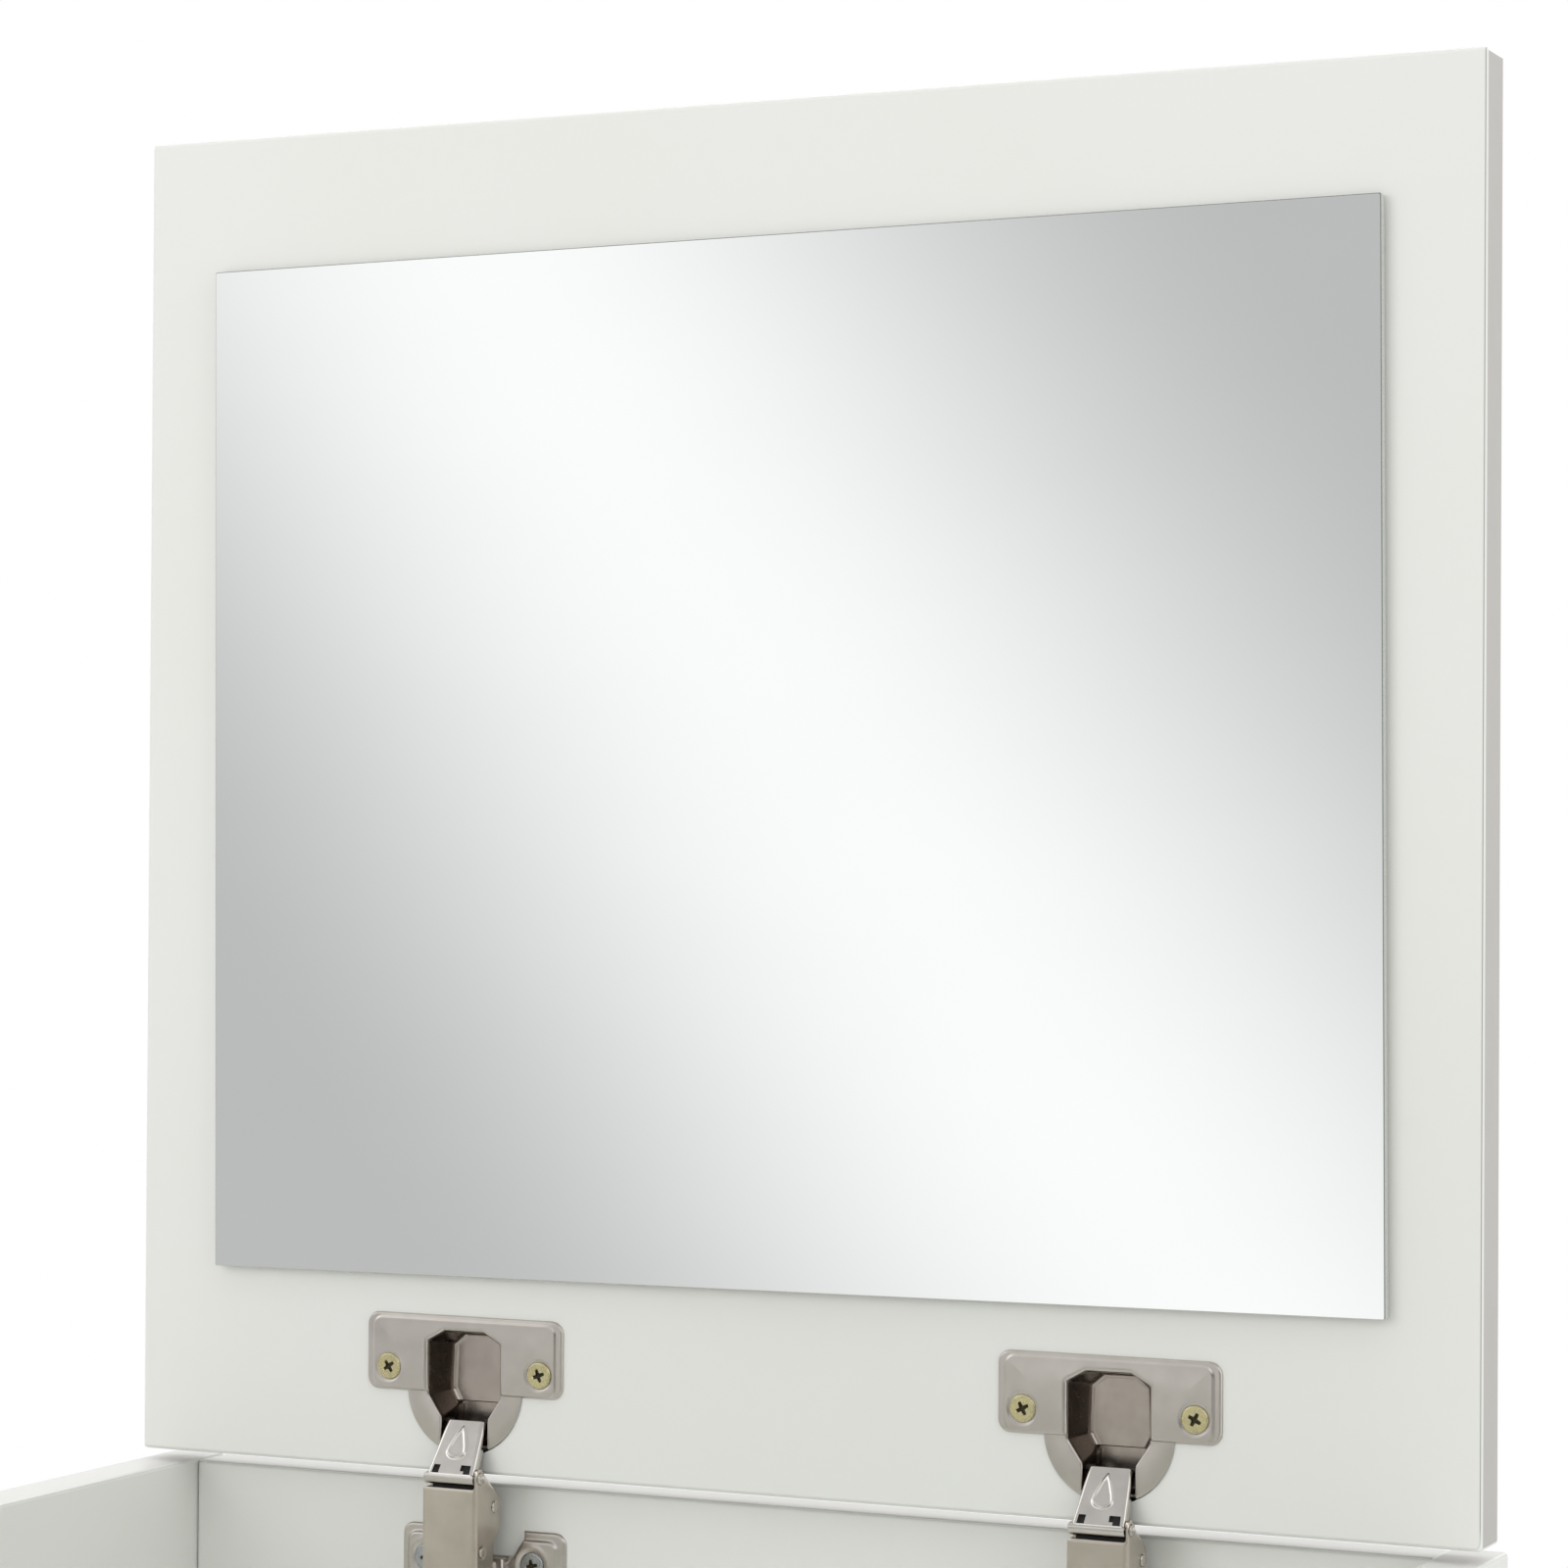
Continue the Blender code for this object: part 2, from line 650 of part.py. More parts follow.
def build_cup(name, x, lid, parent):
    face = FIT
    profile = [(0.0, face + CUP_RIM), (CUP_RIM_RADIUS, face + CUP_RIM), (CUP_RIM_RADIUS, face)]
    profile += [(CUP_RADIUS, face), (CUP_RADIUS, -CUP_DEPTH), (0.0, -CUP_DEPTH)]
    cup = turned(name + "_cup", profile, cup_point(x, 0.0), FRONT_VIEW, nickel(name + "_nickel_cup"), 36)
    half = CUP_FLANGE_WIDTH / 2
    foot = -CUP_FLANGE_BELOW
    flange = plate(
        name + "_cup_flange",
        rounded_rectangle(-half, foot, half, foot + CUP_FLANGE_HEIGHT, CUP_FLANGE_CORNER),
        CUP_FLANGE,
        (x, LID_FACE - CUP_PROUD + CUP_FLANGE / 2, LID_FOOT + CUP_HEIGHT),
        FRONT_VIEW,
    )
    reach = CUP_PROUD + MM
    pocket = plate(
        name + "_cup_pocket",
        pocket_outline(),
        POCKET_DEPTH + reach,
        (x, LID_FACE + (POCKET_DEPTH - reach) / 2, LID_FOOT + CUP_HEIGHT),
        FRONT_VIEW,
    )
    rim_gap = box(
        name + "_cup_rim_gap",
        (x - RIM_GAP_HALF, LID_FACE - reach, LID_FOOT + CUP_HEIGHT - CUP_RIM_RADIUS - MM),
        (x + RIM_GAP_HALF, LID_FACE + FIT, LID_FOOT + CUP_HEIGHT + RIM_GAP_TOP),
    )
    join(cup, flange)
    cut(cup, rim_gap, pocket)
    tip = datum(x, LINK_TIP)
    pin = datum(x, CUP_PIN)
    rivet_reach = POCKET_SLOT_HALF + RIVET_IN_CUP
    pin_reach = half_chord(CUP_RADIUS, CUP_HEIGHT - CUP_PIN_HEIGHT + CUP_PIN_RADIUS) - CUP_PIN_SKIN
    cut(
        cup,
        bar_across(name + "_rivet_hole", RIVET_RADIUS + FIT, tip, -rivet_reach - FIT, rivet_reach + FIT),
        bar_across(name + "_cup_pin_hole", CUP_PIN_RADIUS + FIT, pin, -pin_reach - FIT, pin_reach + FIT),
    )
    hole = rod(
        name + "_cup_hole",
        CUP_RADIUS + FIT,
        (x, LID_FACE - CUP_PROUD, LID_FOOT + CUP_HEIGHT),
        (x, LID_FACE + CUP_DEPTH + FIT, LID_FOOT + CUP_HEIGHT),
        segments=36,
    )
    cut(lid, hole)
    smooth(cup)
    hang(cup, parent)
    for side, sign in (("left", -1), ("right", 1)):
        inner = LINK_TIP_HALF_WIDTH - LINK_WALL - 2 * FIT
        ends = sorted((sign * inner, sign * rivet_reach))
        rivet_name = f"{name}_cup_rivet_{side}"
        rivet = bar_across(rivet_name, RIVET_RADIUS, tip, *ends, mat=nickel(rivet_name + "_steel"))
        smooth(rivet)
        hang(rivet, parent)
        screw_x = x + sign * CUP_SCREW_SPACING / 2
        screw_z = LID_FOOT + CUP_HEIGHT + CUP_SCREW_OFFSET
        surface = LID_FACE - CUP_PROUD
        screw = build_screw(f"{name}_cup_screw_{side}", screw_x, surface, screw_z, cup, lid)
        hang(screw, parent)
    cup_pin = bar_across(name + "_cup_pin", CUP_PIN_RADIUS, pin, -pin_reach, pin_reach, mat=nickel(name + "_pin"))
    smooth(cup_pin)
    hang(cup_pin, parent)


def bar_across(name, radius, centre, left, right, mat=None):
    """Round bar along X through a point, from left to right of it."""
    x, y, z = centre
    return rod(name, radius, (x + left, y, z), (x + right, y, z), mat)


def build_screw(name, x, surface, z, holder, board):
    """Countersunk cross-head screw, flush with a holder's face and driven into the board behind it."""
    profile = [(0.0, 0.0), (SCREW_HEAD_RADIUS, 0.0), (SCREW_RADIUS, -SCREW_HEAD)]
    profile += [(SCREW_RADIUS, -SCREW_LENGTH + SCREW_RADIUS), (0.0, -SCREW_LENGTH)]
    at = (x, surface, z)
    screw = turned(name, profile, at, FRONT_VIEW, material(name + "_yellow_zinc", YELLOW_ZINC, 0.35, 1.0), 16)
    long, wide = SCREW_SLOT_LENGTH / 2, SCREW_SLOT_WIDTH / 2
    cross = box(name + "_slot_a", (x - long, surface - MM, z - wide), (x + long, surface + SCREW_RECESS, z + wide))
    upright = box(name + "_slot_b", (x - wide, surface - MM, z - long), (x + wide, surface + SCREW_RECESS, z + long))
    cut(screw, cross, upright)
    flare = (SCREW_HEAD_RADIUS - SCREW_RADIUS) / SCREW_HEAD * FIT
    grown = [(0.0, FIT), (SCREW_HEAD_RADIUS + FIT + flare, FIT), (SCREW_RADIUS + FIT, -SCREW_HEAD)]
    grown += [(SCREW_RADIUS + FIT, -SCREW_LENGTH - FIT), (0.0, -SCREW_LENGTH - FIT)]
    hole = turned(name + "_hole", grown, at, FRONT_VIEW, steps=16)
    cut(holder, hole)
    cut(board, hole)
    smooth(screw)
    return screw


# ---------------------------------------------------------------- hinge: arm and mounting plate, on the case
def arm_outline():
    """Side view of the arm: straight front, round ear at the pivot, lobe behind for the inner link."""
    ear = arc(ARM_PIVOT, ARM_EAR, 180, 10, 10)
    return [
        (ARM_FRONT, ARM_FOOT),
        *ear,
        (ARM_LOBE_BACK, ARM_LOBE_TOP),
        (ARM_LOBE_BACK, ARM_LOBE_FOOT),
        (ARM_BACK, ARM_NECK_FOOT),
        (ARM_BACK, ARM_FOOT),
    ]


def build_arm(name, x):
    half = ARM_WIDTH / 2
    origin = datum(x, (0.0, 0.0))
    arm = plate(name + "_arm", arm_outline(), ARM_WIDTH, origin, SIDE_VIEW, nickel(name + "_nickel_arm"))
    hollow = half - ARM_WALL
    channel = box(
        name + "_arm_channel",
        (x - hollow, LID_FACE + ARM_FRONT + ARM_WALL, CASE_TOP + ARM_FOOT - MM),
        (x + hollow, LID_FACE + LID_TO_BACK, CASE_TOP + 2 * ARM_EAR + ARM_PIVOT[1]),
    )
    mouth = box(
        name + "_arm_mouth",
        (x - hollow, LID_FACE + ARM_FRONT - MM, CASE_TOP + ARM_PIVOT[1] - ARM_WEB_DROP),
        (x + hollow, LID_FACE + LID_TO_BACK, CASE_TOP + 2 * ARM_EAR + ARM_PIVOT[1]),
    )
    cut(arm, channel, mouth)
    reach = half + FIT + PIN_HEAD
    for key, point in (("arm_pin", ARM_PIVOT), ("inner_pin", INNER_PIVOT)):
        centre = datum(x, point)
        cut(arm, bar_across(f"{name}_{key}_hole", PIN_RADIUS + FIT, centre, -reach, reach))
        build_pin(f"{name}_{key}", centre, half + FIT)
    screw_at = (x, LID_FACE + ARM_FRONT, CASE_TOP + FIXING_SCREW_DROP)
    hole_end = LID_FACE + ARM_FRONT + ARM_WALL
    cut(
        arm,
        rod(
            name + "_arm_screw_hole",
            FIXING_SCREW_RADIUS + FIT,
            (x, screw_at[1] - MM, screw_at[2]),
            (x, hole_end + MM, screw_at[2]),
        ),
    )
    smooth(arm)


def build_pin(name, centre, shoulder):
    """Headed pin along X: both heads stand outside the arm's cheeks."""
    tip = shoulder + PIN_HEAD
    profile = [(0.0, tip), (PIN_HEAD_RADIUS * 0.8, tip), (PIN_HEAD_RADIUS, shoulder + PIN_HEAD / 2)]
    profile += [(PIN_HEAD_RADIUS, shoulder), (PIN_RADIUS, shoulder), (PIN_RADIUS, -shoulder)]
    profile += [(PIN_HEAD_RADIUS, -shoulder), (PIN_HEAD_RADIUS, -shoulder - PIN_HEAD / 2)]
    profile += [(PIN_HEAD_RADIUS * 0.8, -tip), (0.0, -tip)]
    smooth(turned(name, profile, centre, (0.0, math.pi / 2, 0.0), nickel(name + "_steel"), SMALL_ROUND))


def wing_outline():
    """Front view of the mounting plate: two wings with sloping shoulders either side of a notch."""
    half = PLATE_WING_WIDTH / 2
    top, foot, radius = PLATE_WING_TOP, PLATE_WING_TOP - PLATE_WING_HEIGHT, PLATE_WING_CORNER
    right = arc((half - radius, foot + radius), radius, 270, 360, 4)
    right += arc((half - radius, top - radius), radius, 0, 90, 4)
    right += [(PLATE_SHOULDER_HALF, top), (PLATE_SHOULDER_HALF, PLATE_SHOULDER_FOOT)]
    right += [(PLATE_NOTCH_HALF, PLATE_NOTCH_FOOT)]
    return right + [(-x, z) for x, z in reversed(right)]


def build_mounting_plate(name, x, back_panel):
    face = BACK_INNER - FIT
    front = face - PLATE_THICKNESS
    base = plate(
        name + "_mounting_plate",
        wing_outline(),
        PLATE_THICKNESS,
        (x, face - PLATE_THICKNESS / 2, CASE_TOP),
        FRONT_VIEW,
        nickel(name + "_nickel_plate"),
    )
    ridge_front = LID_FACE + RIDGE_FRONT
    ridge = box(
        name + "_plate_ridge",
        (x - RIDGE_HALF, ridge_front, CASE_TOP + RIDGE_FOOT),
        (x + RIDGE_HALF, face - FIT, CASE_TOP + RIDGE_TOP),
    )
    join(base, ridge)
    screw_z = CASE_TOP + FIXING_SCREW_DROP
    cut(
        base,
        rod(
            name + "_ridge_hole",
            FIXING_SCREW_RADIUS + FIT,
            (x, ridge_front - MM, screw_z),
            (x, front - FIT, screw_z),
        ),
    )
    for side, sign in (("left", -1), ("right", 1)):
        screw_x = x + sign * PLATE_SCREW_SPACING / 2
        z = CASE_TOP + PLATE_SCREW_DROP
        build_screw(f"{name}_plate_screw_{side}", screw_x, front, z, base, back_panel)
    smooth(base)
    head_seat = LID_FACE + ARM_FRONT - FIT
    depth = front - 2 * FIT - head_seat
    profile = [(0.0, FIXING_SCREW_HEAD), (FIXING_SCREW_HEAD_RADIUS * 0.85, FIXING_SCREW_HEAD)]
    profile += [(FIXING_SCREW_HEAD_RADIUS, FIXING_SCREW_HEAD * 0.6), (FIXING_SCREW_HEAD_RADIUS, 0.0)]
    profile += [(FIXING_SCREW_RADIUS, 0.0), (FIXING_SCREW_RADIUS, -depth), (0.0, -depth)]
    fixing = turned(
        name + "_fixing_screw", profile, (x, head_seat, screw_z), FRONT_VIEW, nickel(name + "_zinc_screw"), 16
    )
    drive = SCREW_SLOT_LENGTH / 2
    top = head_seat - FIXING_SCREW_HEAD
    wide = SCREW_SLOT_WIDTH / 2
    cut(
        fixing,
        box(name + "_drive_a", (x - drive, top - MM, screw_z - wide), (x + drive, top + MM, screw_z + wide)),
        box(name + "_drive_b", (x - wide, top - MM, screw_z - drive), (x + wide, top + MM, screw_z + drive)),
    )
    smooth(fixing)


def build_spring(name, x):
    """Closing spring: two turns of wire round the inner pin, one leg laid against the arm's front."""
    inner_x = INNER_HALF_WIDTH + FIT + SPRING_WIRE
    per_turn = 12
    points = [(inner_x, -SPRING_COIL, -SPRING_LEG)]
    for i in range(SPRING_TURNS * per_turn + 1):
        angle = math.pi - 2 * math.pi * i / per_turn
        advance = SPRING_PITCH * i / per_turn
        points.append((inner_x + advance, SPRING_COIL * math.cos(angle), SPRING_COIL * math.sin(angle)))
    last_x = inner_x + SPRING_PITCH * SPRING_TURNS
    points.append((last_x, -SPRING_COIL, SPRING_LEG / 2))
    curve = bpy.data.curves.new(name + "_spring", "CURVE")
    curve.dimensions = "3D"
    curve.bevel_depth = SPRING_WIRE
    curve.bevel_resolution = 1
    curve.use_fill_caps = True
    spline = curve.splines.new("POLY")
    spline.points.add(len(points) - 1)
    for point, co in zip(spline.points, points):
        point.co = (*co, 1.0)
    steel = nickel(name + "_spring_steel")
    smooth(from_curve(name + "_spring", curve, datum(x, INNER_PIVOT), (0.0, 0.0, 0.0), steel))


# ---------------------------------------------------------------- hinge: links
def build_outer_link(name, x, parent):
    """Channel-shaped link: rolled round the arm pin, web in front, ears on the cup's rivets."""
    length = math.dist(ARM_PIVOT, LINK_TIP)
    lean = math.degrees(math.atan2(LINK_TIP[1] - ARM_PIVOT[1], LINK_TIP[0] - ARM_PIVOT[0]))
    web_end = length - LINK_WEB_SHORT

    def along(s, n):
        """Turn a place along and in front of the pivot line into the side view's (y, z)."""
        angle = math.radians(lean)
        return (
            s * math.cos(angle) - n * math.sin(angle),
            s * math.sin(angle) + n * math.cos(angle),
        )

    tip = along(length, 0.0)
    outline = arc((0.0, 0.0), LINK_ROLL, lean + 270, lean + 90, 10)
    outline += [along(web_end + LINK_WALL / 2, LINK_ROLL)]
    outline += arc(tip, LINK_EAR, lean + 80, lean - 110, 8)
    outline += [along(length - 2 * LINK_EAR, -LINK_CHEEK_BACK), along(LINK_ROLL, -LINK_CHEEK_BACK)]
    link = plate(
        name + "_outer_link",
        outline,
        2 * LINK_HALF_WIDTH,
        datum(x, ARM_PIVOT),
        SIDE_VIEW,
        material(name + "_polished_link", POLISHED, 0.2, 1.0),
    )
    hollow_outline = [
        along(LINK_WEB_START, LINK_ROLL - LINK_WALL),
        along(web_end, LINK_ROLL - LINK_WALL),
        along(web_end, 2 * LINK_ROLL),
        along(length + 2 * LINK_EAR, 2 * LINK_ROLL),
        along(length + 2 * LINK_EAR, -2 * LINK_EAR),
        along(LINK_WEB_START, -2 * LINK_EAR),
    ]
    hollow = plate(
        name + "_link_hollow",
        hollow_outline,
        2 * (LINK_HALF_WIDTH - LINK_WALL),
        datum(x, ARM_PIVOT),
        SIDE_VIEW,
    )
    taper = 1.0 - LINK_TIP_HALF_WIDTH / LINK_HALF_WIDTH
    for shape in (link, hollow):
        for vertex in shape.data.vertices:
            vertex.co.z *= 1.0 - taper * along_position(vertex.co.x, vertex.co.y, lean) / length
    cut(
        link,
        hollow,
        bar_across(name + "_link_roll_hole", PIN_RADIUS + FIT, datum(x, ARM_PIVOT), -ARM_WIDTH, ARM_WIDTH),
        bar_across(name + "_link_ear_hole", RIVET_RADIUS + FIT, datum(x, LINK_TIP), -ARM_WIDTH, ARM_WIDTH),
    )
    smooth(link)
    hang(link, parent)


def along_position(y, z, lean):
    """Distance of a side-view point along the link's pivot line."""
    angle = math.radians(lean)
    return y * math.cos(angle) + z * math.sin(angle)


def build_inner_link(name, x, parent):
    """Goose-necked link: an eye on the arm's inner pin, a saddle half round the cup's pin."""
    route = [INNER_PIVOT, *INNER_ELBOWS, CUP_PIN]
    local = [(y - INNER_PIVOT[0], z - INNER_PIVOT[1]) for y, z in route]
    width = 2 * INNER_HALF_WIDTH
    origin = datum(x, INNER_PIVOT)
    hole = PIN_RADIUS + FIT
    link = rod(
        name + "_inner_link",
        INNER_EYE,
        (x - INNER_HALF_WIDTH, origin[1], origin[2]),
        (x + INNER_HALF_WIDTH, origin[1], origin[2]),
        nickel(name + "_nickel_inner_link"),
        16,
    )
    strap = plate(name + "_inner_strap", strap_outline(local), width, origin, SIDE_VIEW)
    end = local[-1]
    come = math.degrees(math.atan2(local[-2][1] - end[1], local[-2][0] - end[0]))
    bore = CUP_PIN_RADIUS + FIT
    saddle_outline = arc(end, INNER_SADDLE, come - 80, come + 80, 8) + arc(end, bore, come + 80, come - 80, 8)
    saddle = plate(name + "_inner_saddle", saddle_outline, width, origin, SIDE_VIEW)
    join(link, strap, saddle)
    cut(
        link,
        bar_across(name + "_inner_eye_hole", hole, origin, -width, width),
        bar_across(name + "_inner_saddle_hole", bore, datum(x, CUP_PIN), -width, width),
    )
    smooth(link)
    hang(link, parent)


def strap_outline(route):
    """Outline of a strap of even thickness that follows a route of straight runs."""
    half = INNER_THICKNESS / 2
    left, right = [], []
    for i, (y, z) in enumerate(route):
        before = route[max(i - 1, 0)]
        after = route[min(i + 1, len(route) - 1)]
        normals = []
        for a, b in ((before, (y, z)), ((y, z), after)):
            run = math.dist(a, b)
            if run > 0.0:
                normals.append(((a[1] - b[1]) / run, (b[0] - a[0]) / run))
        mean = [sum(n[k] for n in normals) / len(normals) for k in (0, 1)]
        reach = half / (mean[0] ** 2 + mean[1] ** 2)
        left.append((y + mean[0] * reach, z + mean[1] * reach))
        right.append((y - mean[0] * reach, z - mean[1] * reach))
    return left + right[::-1]


# ---------------------------------------------------------------- assembly
def build_table():
    panels = build_case()
    outer_axis = axis_empty("outer_link_axis", *ARM_PIVOT)
    inner_axis = axis_empty("inner_link_axis", *INNER_PIVOT)
    lid_axis = axis_empty("lid_axis", *LINK_TIP)
    lid = build_lid(lid_axis)
    for side, x in HINGES.items():
        name = "hinge_" + side
        build_cup(name, x, lid, lid_axis)
        build_arm(name, x)
        build_mounting_plate(name, x, panels["back"])
        build_spring(name, x)
        build_outer_link(name, x, outer_axis)
        build_inner_link(name, x, inner_axis)


build_table()
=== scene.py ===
"""Flip-top vanity table with a mirror: its finishes, its detailed hinges and mirror, and a plain studio."""

import math

import bpy
import numpy as np
from bpy.props import FloatProperty, FloatVectorProperty, PointerProperty
from mathutils import Matrix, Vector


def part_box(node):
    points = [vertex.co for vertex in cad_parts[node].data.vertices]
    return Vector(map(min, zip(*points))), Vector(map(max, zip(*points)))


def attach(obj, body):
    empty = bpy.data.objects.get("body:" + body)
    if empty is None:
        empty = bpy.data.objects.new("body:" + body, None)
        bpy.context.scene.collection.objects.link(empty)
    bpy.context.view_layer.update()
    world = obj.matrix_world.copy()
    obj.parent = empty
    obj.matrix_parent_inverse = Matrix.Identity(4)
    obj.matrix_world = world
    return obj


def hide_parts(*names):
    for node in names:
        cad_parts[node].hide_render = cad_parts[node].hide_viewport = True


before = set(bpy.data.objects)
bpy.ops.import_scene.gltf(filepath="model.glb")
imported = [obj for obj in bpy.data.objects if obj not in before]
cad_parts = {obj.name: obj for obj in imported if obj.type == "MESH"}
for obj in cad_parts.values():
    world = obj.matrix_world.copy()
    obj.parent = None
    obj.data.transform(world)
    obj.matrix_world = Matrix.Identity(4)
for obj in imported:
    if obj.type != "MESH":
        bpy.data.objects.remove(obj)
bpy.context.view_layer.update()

bl_info = {
    "name": "Flip-top vanity table",
    "version": (1, 0, 0),
    "blender": (4, 5, 0),
    "location": "3D View > Sidebar > Vanity",
    "description": "Finishes, hinges, mirror and studio of a flip-top vanity table",
    "category": "Object",
}

MM = 0.001

# ---------------------------------------------------------------- places taken from the frame
LID_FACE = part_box("lid_panel")[0].y
CASE_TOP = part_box("side_panel_left")[1].z
BACK_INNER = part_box("back_panel")[0].y
SIDES = ("left", "right")
HINGES = tuple(f"hinge_{side}" for side in SIDES)
BOARDS = ("side_panel_left", "side_panel_right", "back_panel", "front_panel", "bottom_panel", "lid_panel")
CORNERS = tuple(f"{end}_{side}" for end in ("front", "rear") for side in SIDES)
CUP_RIM_RADIUS = 18.2


def middle(node):
    """Middle of a CAD node's box, in metres."""
    low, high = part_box(node)
    return (low + high) / 2


# ---------------------------------------------------------------- colours and nodes
def linear(code):
    """Linear RGBA of an sRGB hex code."""
    channels = [int(code[i : i + 2], 16) / 255 for i in (0, 2, 4)]
    return [c / 12.92 if c <= 0.04045 else ((c + 0.055) / 1.055) ** 2.4 for c in channels] + [1.0]


def add(tree, kind, inputs=None, **settings):
    """Add one shader node: settings are its attributes, inputs a value or a source for each socket."""
    node = tree.nodes.new("ShaderNode" + kind)
    for key, value in settings.items():
        setattr(node, key, value)
    for key, value in (inputs or {}).items():
        if isinstance(value, bpy.types.NodeSocket):
            tree.links.new(value, node.inputs[key])
        else:
            node.inputs[key].default_value = value
    return node


def bare_tree(owner):
    """The emptied node tree of a material or a world."""
    owner.use_nodes = True
    owner.node_tree.nodes.clear()
    return owner.node_tree


def new_finish(name, **values):
    """A material with one principled shader; values are set directly on the shader's own sockets."""
    material = bpy.data.materials.new(name)
    tree = bare_tree(material)
    shader = add(tree, "BsdfPrincipled", {key.replace("_", " "): value for key, value in values.items()})
    add(tree, "OutputMaterial", {"Surface": shader.outputs["BSDF"]})
    return material, tree, shader


def grain(tree, size, detail=3.0, stretch=(1.0, 1.0, 1.0)):
    """Noise whose grains are about size metres across, on the object's own coordinates."""
    place = add(tree, "TexCoord").outputs["Object"]
    place = add(tree, "Mapping", {"Vector": place, "Scale": stretch}).outputs["Vector"]
    return add(tree, "TexNoise", {"Vector": place, "Scale": 1.0 / size, "Detail": detail}).outputs["Fac"]


def ranged(tree, source, low, high, start=0.0, end=1.0, smooth=False):
    """Source brought from low..high to start..end, clamped."""
    kind = "SMOOTHSTEP" if smooth else "LINEAR"
    sockets = {"Value": source, "From Min": low, "From Max": high, "To Min": start, "To Max": end}
    return add(tree, "MapRange", sockets, interpolation_type=kind).outputs["Result"]


def mixed(tree, share, first, second):
    """Colour between first and second."""
    return add(tree, "Mix", {0: share, 6: first, 7: second}, data_type="RGBA").outputs[2]


def bumped(tree, shader, height, depth, strength):
    """Relief of the given depth in metres on the shader's normal."""
    bump = add(tree, "Bump", {"Height": height, "Distance": depth, "Strength": strength})
    tree.links.new(bump.outputs["Normal"], shader.inputs["Normal"])


def calc(tree, operation, first, second=None):
    """One arithmetic step on numbers or sockets."""
    sockets = {0: first} if second is None else {0: first, 1: second}
    return add(tree, "Math", sockets, operation=operation).outputs[0]


def coated(tree, shader, surface, blur):
    """Link a colour and a roughness to a shader."""
    tree.links.new(surface, shader.inputs["Base Color"])
    tree.links.new(blur, shader.inputs["Roughness"])


def two_tone(name, tones, size, relief, blur=None, **values):
    """A finish whose one grain, of the given size in metres, runs between two tones and gives its relief,
    (depth in metres, strength), and where blur is given also its roughness from low to high."""
    material, tree, shader = new_finish(name, **values)
    cloud = grain(tree, size, 2.0)
    tree.links.new(mixed(tree, cloud, *tones), shader.inputs["Base Color"])
    if blur:
        tree.links.new(ranged(tree, cloud, 0.3, 0.7, *blur), shader.inputs["Roughness"])
    bumped(tree, shader, cloud, *relief)
    return material


# ---------------------------------------------------------------- finishes
JOINT_TURN = 3.0 * MM
GLUE_HALF = 0.06 * MM
GLUE_FADE = 0.2 * MM
BAND_FADE = 0.1 * MM
HAND = 120 * MM
SPECK_SPACING = 60 * MM


